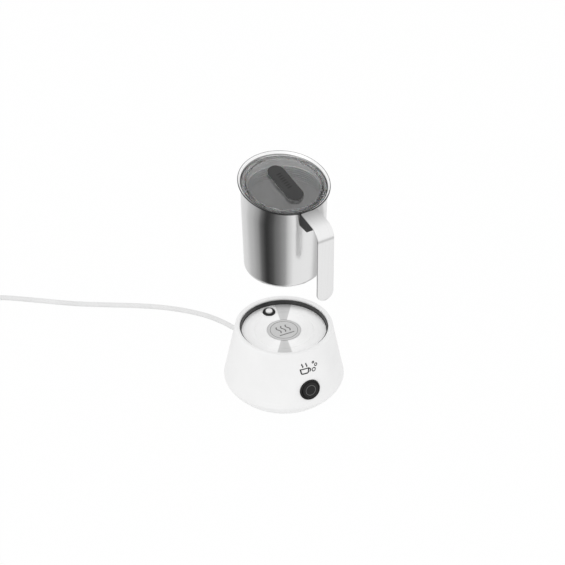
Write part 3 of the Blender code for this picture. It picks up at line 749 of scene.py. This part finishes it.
def badge_marks():
    """Three rising heat waves over a bar, printed on the centre disc, and a printed edge line."""

    def on_badge(u, v, lift):
        return about_axis((u, v, PLATE_Z + 0.05 + lift))

    bm = bmesh.new()
    for u in (-5.4, 0.0, 5.4):
        ribbon(bm, wave(u, -3.6, 11.0, 1.3), 1.3, on_badge, 0.03, 0.03)
    ribbon(bm, [(-8.6, -7.2), (8.6, -7.2)], 1.3, on_badge, 0.03, 0.03)
    detail("badge_heat_mark", bm, "faint_print", "centre_badge", "grey_plastic")
    ring = turned([(14.4, -0.03), (14.9, -0.03), (14.9, 0.03), (14.4, 0.03)], FINE, True)
    placed(ring, (0, 0, PLATE_Z + 0.05))
    detail("badge_edge_line", ring, "faint_print", "centre_badge", "grey_plastic")


def sensor():
    rim = PLATE_Z + 1.4
    collar = [(4.15, 73.6), (6.7, 73.6), (6.7, rim, 0.9), (4.15, rim, 0.6)]
    lathed("sensor_collar", collar, "black", ring=True, at=SENSOR_CENTRE)
    top = size("sensor_cap")[1].z
    cap = [
        (0, 74.2), (3.75, 74.2, 0.2), (3.75, top - 0.5, 0.9), (1.6, top - 0.05, 2.0), (0, top),
    ]
    lathed("sensor_cap", cap, "cap", at=SENSOR_CENTRE)


def on_wall(u, v, lift):
    """A point on the shell's wall: u round it from the button's middle, v up it, both in millimetres."""
    z = BUTTON_Z + v * math.cos(math.atan(WALL_LEAN))
    radius = wall_radius(z)
    turn = u / radius
    return about_axis(((radius + lift) * math.sin(turn), -(radius + lift) * math.cos(turn), z))


def wall_pictogram():
    """A plain steaming cup and three froth bubbles, printed above the button."""
    bm = bmesh.new()
    low, wide, middle, stroke = 20.6, 4.8, -4.0, 1.5
    brim = low + 5.6
    bowl = [(-wide, brim), (-wide * 0.8, low, 1.8), (wide * 0.8, low, 1.8), (wide, brim)]
    ribbon(bm, [(middle + u, v) for u, v in soften(bowl, 6)], stroke, on_wall)
    ribbon(bm, [(middle + (wide + 0.7) * i / 6, brim) for i in range(-6, 7)], stroke * 0.85, on_wall)
    ribbon(bm, arc(middle + wide, low + 3.0, 2.0, 80, -72), stroke * 0.8, on_wall)
    for u in (-2.3, 2.3):
        ribbon(bm, wave(middle + u, brim + 2.0, 4.6, 0.6), stroke * 0.85, on_wall)
    for u, v, radius in ((6.6, 1.8, 2.0), (9.6, 6.6, 1.5), (6.4, 10.4, 1.0)):
        ribbon(bm, arc(u, low + v, radius, 0, 360, 28), stroke * 0.7, on_wall)
    detail("wall_pictogram", bm, "print", "base_shell", "black_plastic")


def button():
    place = dict(segments=128, at=BUTTON_PLACE, turn=BUTTON_TURN)
    bezel = [(9.65, -5.0), (BUTTON_RADIUS, -5.0), (BUTTON_RADIUS, 1.0, 0.5), (9.65, 1.0, 0.35)]
    lathed("button_bezel", bezel, "black", ring=True, **place)
    ring_in, ring_out = BUTTON_RING_RADIUS - 0.4, BUTTON_RING_RADIUS + 0.4
    cap = [
        (0, -8.0),
        (2.0, -8.0, 0.3),
        (2.0, -2.6),
        (BUTTON_CAP_RADIUS, -2.6, 0.2),
        (BUTTON_CAP_RADIUS, 1.6, 0.8),
        (7.4, 1.78, 2.0),
        (ring_out + GAP * 0.5, 1.86, 0.1),
        (ring_out + GAP * 0.5, 1.0),
        (ring_in - GAP * 0.5, 1.0),
        (ring_in - GAP * 0.5, 1.9, 0.1),
        (0, 1.97),
    ]
    lathed("button_cap", cap, "black", 5, **place)
    light = [(ring_in, 1.3), (ring_out, 1.3), (ring_out, 1.92, 0.2), (ring_in, 1.92, 0.2)]
    lathed("button_light_ring", light, "button_ring", 4, ring=True, **place)


def underside():
    cover = [
        (0, 2.0), (8.0, 2.0), (8.6, 2.6, 0.3), (11.0, 2.6, 0.3), (11.6, 2.0, 0.3), (41.0, 2.0, 0.3),
        (43.9, 2.8, 0.5), (43.9, 4.4, 0.3), (0, 4.4),
    ]
    lathed("bottom_cover", cover, "grey", 4, FINE)
    foot = [(0, 0.0), (3.4, 0.0, 0.2), (3.7, 0.35, 0.2), (4.3, 0.35, 0.2), (4.5, 0.0, 0.2)]
    foot += [(5.5, 0.0, 0.5), (5.5, 1.7, 0.3), (0, 1.7)]
    for number in range(1, 5):
        low, high = size(f"foot_{number}")
        lathed(f"foot_{number}", foot, "foot", 4, 64, at=(*((low + high) / 2).xy, 0))
    for number in range(1, 4):
        low, high = size(f"cover_screw_{number}")
        place = (*((low + high) / 2).xy, high.z)
        fine(f"cover_screw_{number}", placed(screw_head(3.0, 0.55), place), "steel")


def screw_head(radius, height):
    """A pan head facing down from z = 0, with a cross recess."""
    profile = [(0, -height), (radius * 0.75, -height, 0.3), (radius, -height * 0.4, 0.2)]
    profile += [(radius, 0), (0, 0)]
    head = to_object("head", turned(soften(profile, 4), 48), None)
    for angle in (0, 90):
        bm = bmesh.new()
        bmesh.ops.create_cube(bm, size=1.0)
        bmesh.ops.scale(bm, vec=(radius * 1.1, radius * 0.26, height), verts=bm.verts)
        placed(bm, (0, 0, -height), Matrix.Rotation(math.radians(angle), 3, "Z"))
        carve(head, to_object("slot", bm, None))
    bm = bmesh.new()
    bm.from_mesh(head.data)
    bmesh.ops.scale(bm, vec=(1 / MM,) * 3, verts=bm.verts)
    bpy.data.objects.remove(head, do_unlink=True)
    return bm


# ---------------------------------------------------------------- power cord
def cord_route():
    """Centreline from the strain relief, down to the worktop, out of view and into the coil."""
    start = [tuple(about_axis((0, y, CORD_EXIT_Z))) for y in (70, 76, 82)]
    lifts = [
        (6.5, 93.0, 7.75), (5.5, 104.0, 3.85), (3.7, 115.0, 0.8), (0.6, 126.8, 0), (-4.0, 138.0, 0),
        (-9.8, 149.0, 0), (-17.1, 159.4, 0), (-29.3, 174.0, 0), (-46.0, 190.0, 0),
        (-68.0, 207.0, 0), (-96.0, 226.0, 0), (-126.0, 247.0, 0), (-155.0, 271.0, 0),
        (-184.0, 294.0, 0.6), (-202.0, 303.2, 2.4),
    ]
    lying = [(x, y, CORD_REST_Z + lift) for x, y, lift in lifts]
    return start + lying + coil_turns()


ENTRY_TURN = 110
LAST_TURN = 90 + 2 * 360
INNER_TURN = 23.6
OUTER_ENTRY = 40.9
TURN_PITCH = 5.8
HUMP = 5.75


def smoothstep(t):
    t = min(max(t, 0.0), 1.0)
    return t * t * (3 - 2 * t)


def coil_turns():
    """Clockwise turns from the coil's near side: over the turns to the inside, then out again."""
    found = []
    for degrees in range(0, LAST_TURN + 1, 11):
        inward = smoothstep(degrees / ENTRY_TURN)
        radius = OUTER_ENTRY + (INNER_TURN - OUTER_ENTRY) * inward
        if degrees > ENTRY_TURN:
            radius = INNER_TURN + TURN_PITCH * (degrees - ENTRY_TURN) / 360
        hump = HUMP * smoothstep((degrees + 45) / 60) * (1 - smoothstep((degrees - 78) / 48))
        angle = math.radians(270 - degrees)
        place = COIL_CENTRE + Vector((math.cos(angle), math.sin(angle))) * radius
        found.append((place.x, place.y, CORD_REST_Z + hump))
    entry = PLUG_PLACE - Vector((17.0, 0, 0))
    for degrees in (0, 30, 60, 90):
        spoke = Vector((-math.cos(math.radians(degrees)), math.sin(math.radians(degrees)) - 1.0)) * PLUG_BEND
        lift = (entry.z - CORD_REST_Z) * smoothstep(degrees / 90)
        found.append((entry.x + spoke.x, entry.y + spoke.y, CORD_REST_Z + lift))
    found.append((entry.x + 1.0, entry.y, entry.z))
    return found


PLUG_PLACE = Vector((COIL_CENTRE.x + 5.0, COIL_CENTRE.y + 45.5, 6.9))
PLUG_BEND = 23.0
PLUG_TURN = Matrix.Rotation(math.radians(90), 3, "Y")


def power_cord():
    points = through(cord_route(), 5)
    cord = round_line("power_cord_fine", points, CORD_RADIUS, "cord", 5)
    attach(cord, "base")
    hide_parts("power_cord", "cord_coil")
    return cord, points


def strain_relief():
    """A tapered sleeve with rings moulded into it."""
    profile = [(CORD_RADIUS + 0.1, 5.6), (6.2, 5.6, 0.3), (6.2, 7.4, 0.3), (4.9, 7.8, 0.3), (4.9, 23.0, 0.4)]
    rings = 4
    for number in range(rings):
        z = 24.6 + 3.6 * number
        r = 4.8 - 0.2 * number
        steps = ((0.55, 0.0), (0.6, 1.2), (0.15, 1.4), (0.25, 3.2))
        profile += [(r - inset, z + along, 0.25) for inset, along in steps]
    profile += [(3.7, RELIEF_END, 0.4), (CORD_RADIUS + 0.1, RELIEF_END, 0.2)]
    lathed("strain_relief", profile, "white", 4, ring=True, at=EXIT_PLACE, turn=EXIT_TURN)


def plug():
    body = [
        (0, -17.0), (3.7, -17.0, 0.4), (4.1, -12.0, 0.3), (4.6, -10.0, 2.0), (5.4, -5.0, 3.0),
        (6.6, 2.0, 3.0), (6.6, 13.6, 0.9), (0, 13.6),
    ]
    made = [lathed("plug_body", body, "cord", at=PLUG_PLACE, turn=PLUG_TURN)]
    pin = [(0, 0), (1.9, 0), (1.9, 18.6, 0.9), (0, 18.6)]
    for number, side in ((1, 1), (2, -1)):
        place = PLUG_PLACE + Vector((13.9, side * 3.6, 0))
        made.append(lathed(f"plug_pin_{number}", pin, "nickel", segments=48, at=place, turn=PLUG_TURN))
    return made


# ---------------------------------------------------------------- jug
def repainted(obj, look, chosen):
    """Gives the look to faces chosen by (radius, height along the rim's slope, facing outwards)."""
    obj.data.materials.append(MATERIALS[look])
    slot = len(obj.data.materials) - 1
    for face in obj.data.polygons:
        middle = face.center / MM
        outwards = face.normal.xy.dot(middle.xy) > 0
        if chosen(middle.xy.length, middle.z - RIM_SLOPE * middle.y, outwards):
            face.material_index = slot


def jug_body():
    """The drawn cup with its flared lip. The middle of its floor is the heat base."""
    inner_top = JUG_TOP_RADIUS - JUG_WALL
    corner = JUG_CORNER
    hole = HEAT_BASE_RADIUS + GAP * 0.3
    out_corner = (JUG_BOTTOM_RADIUS, JUG_BOTTOM_Z, corner)
    outside = [(hole, JUG_BOTTOM_Z), out_corner, (JUG_TOP_RADIUS - 0.2, 242.0)]
    in_corner = (JUG_BOTTOM_RADIUS - JUG_WALL, JUG_FLOOR_Z, corner - JUG_WALL)
    inside = [(inner_top - 0.2, 242.0), in_corner, (hole, JUG_FLOOR_Z)]
    lip = [
        (JUG_TOP_RADIUS, LIP_START_Z),
        (JUG_TOP_RADIUS + 0.1, LIP_START_Z + 0.5, 0.8),
        (47.7, 266.9, 0.7),
        (47.6, 268.2, 0.5),
        (46.9, 268.2, 0.4),
        (LIP_SEAT_RADIUS, 266.2),
        (43.7, 265.0, 0.8),
        (inner_top, LIP_START_Z - 0.2),
    ]
    rim = slanted(soften(lip, 6))
    profile = soften(outside, 14) + rim + soften(inside, 14)
    jug = fine("jug_body", turned(profile, 256, True), "jug", 40)
    floor = JUG_FLOOR_Z - 8
    repainted(jug, "inside", lambda r, level, outwards: not outwards and r > hole and level > floor)
    # Painted highlight: the rim's top gets the lighter copy of the steel.
    repainted(jug, "lip", lambda r, level, outwards: level > LIP_START_Z + 0.9)
    # Painted shade: the flare's outward faces and the rim's outer edge get the near-black copy of the steel.
    repainted(jug, "flare", lambda r, level, outwards: level > LIP_START_Z and (outwards or r > 46.9))
    # Painted shade: a grey band on the rim's inner slope, at the lid's seat.
    repainted(jug, "lip_seat", lambda r, level, outwards: level > LIP_START_Z + 0.9 and r < LIP_SEAT_RADIUS)


def jug_fittings():
    r = HEAT_BASE_RADIUS
    foot = [
        (0, -2.6), (r - 6.6, -2.6, 0.2), (r - 6.6, -3.0, 0.2), (r, -3.0, 0.6), (r, JUG_WALL, 0.1),
        (0, JUG_WALL),
    ]
    lathed("jug_heat_base", foot, "heat_base", 4, FINE, at=(0, 0, JUG_BOTTOM_Z))
    post = [(0, 0.3), (2.0, 0.3), (2.0, 9.8, 1.2), (0, 9.8)]
    lathed("whisk_post", post, "steel", segments=48, at=(0, 0, JUG_FLOOR_Z))


def handle_path(steps=14):
    """Centreline (y, z) of the strap, outwards along -Y, and the height where its tip starts."""
    reach = HANDLE_FACE - HANDLE_THICKNESS / 2
    slope = math.atan(RIM_SLOPE)
    drop = HANDLE_THICKNESS / 2 / math.cos(slope)
    corner_height = HANDLE_TOP_Z - drop - RIM_SLOPE * (reach - HANDLE_START)
    radius = HANDLE_BEND - HANDLE_THICKNESS / 2
    turn = math.pi / 2 - slope
    cut_back = radius * math.tan(turn / 2)
    first = Vector((HANDLE_START, HANDLE_TOP_Z - drop))
    bend = Vector((reach - cut_back * math.cos(slope), corner_height + cut_back * math.sin(slope)))
    centre = (bend.x - radius * math.sin(slope), bend.y - radius * math.cos(slope))
    points = [tuple(first.lerp(bend, t / 4)) for t in range(5)]
    for i in range(1, steps + 1):
        a = math.pi / 2 - slope - turn * i / steps
        points.append((centre[0] + radius * math.cos(a), centre[1] + radius * math.sin(a)))
    low = HANDLE_TIP_Z + HANDLE_WIDTH / 2
    bottom = centre[1]
    points += [(reach, bottom + (low - bottom) * t / 6) for t in range(1, 7)]
    for i in range(1, steps + 1):
        a = math.pi / 2 * i / steps
        points.append((reach, low - HANDLE_WIDTH / 2 * math.sin(a)))
    return points, low


def handle_strap():
    """Bent flat strip with rounded edges and a full-round tip."""
    points, low = handle_path()
    half, thick, soft = HANDLE_WIDTH / 2, HANDLE_THICKNESS / 2, 0.6
    bm = bmesh.new()
    rows = []
    for i, (y, z) in enumerate(points):
        y0, z0 = points[max(i - 1, 0)]
        y1, z1 = points[min(i + 1, len(points) - 1)]
        along = Vector((y1 - y0, z1 - z0)).normalized()
        out = Vector((-along.y, along.x))
        width = half
        tip_thick = thick
        if z < low - 1e-6:
            width = math.sqrt(max(half**2 - (low - z) ** 2, 0.04))
            tip_thick = thick if width > soft else thick * 0.6
        edge = min(soft, width * 0.6)
        section = []
        for cx, cy, start in ((1, 1, 0), (-1, 1, 90), (-1, -1, 180), (1, -1, 270)):
            for k in range(5):
                a = math.radians(start + 90 * k / 4)
                x = cx * (width - edge) + edge * math.cos(a)
                t = cy * (tip_thick - min(edge, tip_thick * 0.9)) + min(edge, tip_thick * 0.9) * math.sin(a)
                section.append((x, t))
        rows.append([bm.verts.new((x, -(y + out.x * t), z + out.y * t)) for x, t in section])
    skinned(bm, rows)
    fine("handle_strap", bm, "strap", 45)


def handle_bracket():
    """The plastic block that ties the strap to the jug's wall."""
    under = HANDLE_TOP_Z - HANDLE_THICKNESS / math.cos(math.atan(RIM_SLOPE)) - GAP * 1.1
    outline = [
        (40.0, BRACKET_BOTTOM_Z + 0.8),
        (BRACKET_END, BRACKET_BOTTOM_Z, 1.6),
        (BRACKET_END + 2.2, under - RIM_SLOPE * (BRACKET_END + 2.2 - HANDLE_START), 0.3),
        (40.0, under - RIM_SLOPE * (40.0 - HANDLE_START)),
    ]
    outline = soften(outline, 6, True)
    half = size("handle_bracket")[1].x
    bm = bmesh.new()
    edge = ((0.0, 0.5), (0.15, 0.15), (0.5, 0.0))
    levels = [(x - half, inset) for x, inset in edge] + [(half - x, inset) for x, inset in edge[::-1]]
    middle = Vector((50.0, 249.0))
    rows = []
    for x, inset in levels:
        row = []
        for y, z in outline:
            inward = (middle - Vector((y, z))).normalized() * inset
            row.append(bm.verts.new((x, -(y + inward.x), z + inward.y)))
        rows.append(row)
    skinned(bm, rows)
    bracket = to_object("handle_bracket_fine", bm, "bracket")
    clear = JUG_TOP_RADIUS + GAP * 0.5
    bored(bracket, clear, 235, 256.5, FINE)
    lip = [(0, 255.0), (clear, 255.0), (clear, 263.4)]
    lip += [(47.4, 265.8), (48.4, 267.0), (48.4, 272.0), (0, 272.0)]
    carve(bracket, to_object("lip_cutter", turned(slanted(lip)), None))
    smooth_but_for(bracket.data)
    stands_for(bracket, "handle_bracket")
    low, high = size("handle_screw")
    fine("handle_screw", placed(screw_head(2.6, 1.3), (0, (low.y + high.y) / 2, high.z)), "steel")


# ---------------------------------------------------------------- lid
def lid_cover():
    low = LID_TOP_Z - 2.2
    flange = [
        (0, LID_TOP_Z),
        (LID_RADIUS - 4.4, LID_TOP_Z, 0.4),
        (LID_RADIUS - 3.9, LID_TOP_Z + 0.35, 0.3),
        (LID_RADIUS - 0.6, LID_TOP_Z + 0.3, 0.5),
        (LID_RADIUS, LID_TOP_Z - 0.8, 0.6),
        (LID_RADIUS, low, 0.3),
        (41.4, low, 0.3),
        (40.2, low - 1.8),
    ]
    skirt = [(40.0, 246.2), (39.6, SKIRT_BOTTOM_Z, 0.3), (38.4, SKIRT_BOTTOM_Z, 0.3), (38.1, 246.2)]
    under = [(38.5, low - 1.0), (38.1, low + 0.4, 0.7), (0, low + 0.4)]
    profile = slanted(soften(flange, 5)) + soften(skirt, 4) + slanted(soften(under, 5))
    fine("lid_cover", turned(profile), "smoke")


def lid_seal():
    """A ribbed sleeve: each rib stands out towards the wall, and shows as a ring from inside."""
    ribs = 6
    outer, inner = [], []
    for number in range(ribs):
        share = number / (ribs - 1)
        z = 247.6 + 10.4 * share
        slant = 0.5 * share
        outer += [(r, z + dz, slant) for r, dz in ((41.3, -0.62), (42.9, -0.2), (42.9, 0.2), (41.3, 0.62))]
        inner += [(r, z + dz, slant) for r, dz in ((40.9, -0.62), (40.4, -0.25), (40.4, 0.25), (40.9, 0.62))]
    fine("lid_seal", turned(outer + inner[::-1], FINE, True), "seal")


def obround(half, radius, levels, steps=24):
    """A bar with full-round ends along local Y; levels are (z, inset)."""
    bm = bmesh.new()
    rows = []
    for z, inset in levels:
        row = []
        for end in (1, -1):
            for i in range(steps + 1):
                a = math.pi * i / steps + (0 if end > 0 else math.pi)
                r = radius - inset
                row.append(bm.verts.new((r * math.cos(a), end * half + r * math.sin(a), z)))
        rows.append(row)
    skinned(bm, rows)
    return bm


def rounded_levels(low, high, edge, steps=5):
    """Levels of a solid whose upper edge is an arc and lower edge a small one."""
    found = [(low, edge * 0.5), (low + edge * 0.5, 0.0)]
    for i in range(steps + 1):
        a = math.pi / 2 * i / steps
        found.append((high - edge + edge * math.sin(a), edge * (1 - math.cos(a))))
    return found


def lid_bar():
    at = RIM_TURN @ Vector((0, LID_BAR_SHIFT, 0)) + Vector((0, 0, LID_TOP_Z))
    base = obround(LID_BAR_HALF, LID_BAR_RADIUS - 0.6, rounded_levels(GAP, 2.1, 0.4))
    fine("lid_bar_base", placed(base, at, RIM_TURN), "bar_base")
    bar = obround(LID_BAR_HALF, LID_BAR_RADIUS, rounded_levels(2.4, 3.5, 0.5))
    fine("lid_bar", placed(bar, at, RIM_TURN), "bar")
    for number, side in ((1, 1), (2, -1)):
        under = RIM_TURN @ Vector((0, side * 14.0, -1.8 - GAP)) + at
        fine(f"lid_screw_{number}", placed(screw_head(2.4, 1.1), under, RIM_TURN), "steel")


def bar_marks():
    """Short raised grip bars in a row along the lid's bar."""

    def on_bar(u, v, lift):
        return RIM_TURN @ Vector((u, v + LID_BAR_SHIFT, 3.5 + lift)) + Vector((0, 0, LID_TOP_Z))

    bm = bmesh.new()
    for number in range(7):
        v = 13.5 - 3.6 * number
        ribbon(bm, [(-2.6, v - 0.5), (2.6, v + 0.5)], 1.0, on_bar, 0.12, 0.05)
    detail("lid_bar_grip", bm, "black", "lid_bar", "black_plastic")


# ---------------------------------------------------------------- whisk
def whisk():
    at = (0, 0, JUG_FLOOR_Z)
    bush = [(2.3, 1.0, 0.2), (4.1, 1.0, 0.3), (4.1, 7.8, 0.3), (2.3, 7.8, 0.2)]
    lathed("whisk_bush", bush, "grey", 4, 64, True, at)
    hub = [(4.5, 3.6, 0.2), (15.8, 3.6, 0.5), (15.8, 6.1, 0.5)]
    hub += [(8.0, 6.6, 0.8), (6.4, 7.6, 0.3), (4.5, 7.6, 0.2)]
    lathed("whisk_hub", hub, "dark", 4, ring=True, at=at)
    magnet = [(0, 0.8), (3.4, 0.8, 0.4), (3.4, 3.3, 0.4), (0, 3.3)]
    for number, side in ((1, 1), (2, -1)):
        place = Vector((side * 9.6, 0, JUG_FLOOR_Z))
        lathed(f"whisk_magnet_{number}", magnet, "nickel", 4, 48, at=place)
    whisk_coil()


def whisk_coil(turns=16, around=22):
    """The sprung ring: a wire wound round a circle."""
    ring, small = 20.0, 3.4
    points = []
    for i in range(turns * around):
        a = 2 * math.pi * i / (turns * around)
        b = 2 * math.pi * i / around
        r = ring + small * math.cos(b)
        points.append((r * math.cos(a), r * math.sin(a), JUG_FLOOR_Z + 4.8 + small * math.sin(b)))
    stands_for(round_line("whisk_coil_fine", points, 0.45, "steel", closed=True), "whisk_coil")


def sensor_spring(turns=3, around=24):
    """The spring under the sensor's cap."""
    low, high = (corner.z for corner in size("sensor_spring"))
    wire, radius, travel = 0.3, 2.2, 2.0
    points = []
    for i in range(turns * around + 1):
        a = 2 * math.pi * i / around
        z = low + wire + (high - low - 2 * wire) * i / (turns * around)
        points.append(SENSOR_CENTRE + Vector((radius * math.cos(a), radius * math.sin(a), z)))
    coil = round_line("spring_wire", points, wire, "steel")
    graph = bpy.context.evaluated_depsgraph_get()
    mesh = bpy.data.meshes.new_from_object(coil.evaluated_get(graph))
    bpy.data.objects.remove(coil, do_unlink=True)
    spring = bpy.data.objects.new("sensor_spring_fine", mesh)
    bpy.context.scene.collection.objects.link(spring)
    stands_for(spring, "sensor_spring")
    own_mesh(spring)


# ---------------------------------------------------------------- CAD nodes that stay
INNER_LOOKS = {
    "button_board": "board",
    "tact_switch": "dark",
    "capacitor": "dark",
    "control_board": "board",
    "relay_block": "white",
    "terminal_block": "grey",
    "cord_clamp": "grey",
    "heat_shield": "ceramic",
    "heater_ring": "nickel",
    "motor_bracket": "grey",
    "motor_can": "steel",
    "thermostat": "ceramic",
    "magnet_carrier": "dark",
    "drive_magnet_1": "nickel",
    "drive_magnet_2": "nickel",
    "motor_shaft": "steel",
}


def finish_inner_nodes():
    for name, look in INNER_LOOKS.items():
        mesh = frame["nodes"][name].data
        mesh.materials.clear()
        mesh.materials.append(MATERIALS[look])


# ---------------------------------------------------------------- stage and light
GLOW_SHARE = 0.97
SKY_STRENGTH = 0.97


def stage_material():
    """A pale floor that glows a little, as a lit studio table does."""
    mat = principled("pale_floor", Roughness=0.9, Specular_IOR_Level=0.0)
    drift = noise(mat, (0.002, 0.002, 0.002), 2.0)
    colour_between(mat, drift, grey(0.88), grey(0.90))
    glow = add_node(mat, "ShaderNodeEmission", Color=(1.0, 1.0, 1.0, 1.0), Strength=1.0)
    mix = add_node(mat, "ShaderNodeMixShader", Fac=GLOW_SHARE)
    join(mat, shader_of(mat), 0, mix, 1)
    join(mat, glow, 0, mix, 2)
    join(mat, mix, 0, mat.node_tree.nodes["Material Output"], "Surface")
    return mat


def make_stage():
    bm = bmesh.new()
    bmesh.ops.create_grid(bm, x_segments=4, y_segments=4, size=20000.0)
    floor = to_object("floor", placed(bm, (0, 0, -0.05)), None)
    floor.data.materials.append(stage_material())
    floor.visible_glossy = False


# Brightness of what stands round the table below eye level, by the angle from the camera's side.
SURROUND = (
    (-180, 0.90), (-132, 0.78), (-101, 0.54), (-78, 0.36), (-66, 0.12), (-50, 0.03), (-34, 0.07),
    (-20, 0.18), (2, 0.33), (14, 0.68), (28, 0.92), (82, 0.94), (102, 0.58), (124, 0.56),
    (142, 0.88), (180, 0.90),
)


def make_world():
    """Even white light from above, and reflected surroundings in soft bands below the horizon."""
    world = bpy.data.worlds.new("studio")
    world.use_nodes = True
    bpy.context.scene.world = world
    place = add_node(world, "ShaderNodeTexCoord")

    def along(direction):
        """How far a ray points along a level direction."""
        reach = add_node(world, "ShaderNodeVectorMath", operation="DOT_PRODUCT")
        reach.inputs[1].default_value = (*direction, 0.0)
        join(world, place, "Generated", reach, 0)
        return reach

    angle = add_node(world, "ShaderNodeMath", operation="ARCTAN2")
    join(world, along((math.cos(AZIMUTH), math.sin(AZIMUTH))), "Value", angle, 0)
    join(world, along((math.sin(AZIMUTH), -math.cos(AZIMUTH))), "Value", angle, 1)
    ramp = graded(world, angle, 0, [(math.radians(degrees), shade) for degrees, shade in SURROUND])
    ramp.color_ramp.interpolation = "EASE"

    fall = {"From Min": -0.06, "From Max": -0.30}
    below = add_node(world, "ShaderNodeMapRange", interpolation_type="SMOOTHSTEP", **fall)
    split = add_node(world, "ShaderNodeSeparateXYZ")
    join(world, place, "Generated", split, "Vector")
    join(world, split, "Z", below, "Value")
    mix = add_node(world, "ShaderNodeMix", data_type="RGBA")
    mix.inputs[6].default_value = (1.0, 1.0, 1.0, 1.0)
    join(world, below, "Result", mix, 0)
    join(world, ramp, "Color", mix, 7)
    background = world.node_tree.nodes["Background"]
    join(world, mix, 2, background, "Color")
    background.inputs["Strength"].default_value = SKY_STRENGTH


def soft_lamp(name, place, size, watts):
    data = bpy.data.lights.new(name, "AREA")
    data.shape = "DISK"
    data.size = size
    data.energy = watts
    lamp = bpy.data.objects.new(name, data)
    bpy.context.scene.collection.objects.link(lamp)
    lamp.location = place
    lamp.rotation_mode = "QUATERNION"
    lamp.rotation_quaternion = (Vector((0, 0, 0.12)) - Vector(place)).to_track_quat("-Z", "Y")


make_camera()
cord, cord_points = power_cord()
base_shell()
recess_collar()
heating_plate()
centre_badge()
badge_marks()
sensor()
sensor_spring()
wall_pictogram()
button()
underside()
strain_relief()
plug_pieces = plug()
jug_body()
jug_fittings()
handle_strap()
handle_bracket()
lid_cover()
lid_seal()
lid_bar()
bar_marks()
whisk()
finish_inner_nodes()
make_stage()
make_world()
soft_lamp("left_softbox", (-1.6, -0.9, 1.7), 1.6, 6.0)
bpy.context.scene.view_settings.view_transform = "Standard"
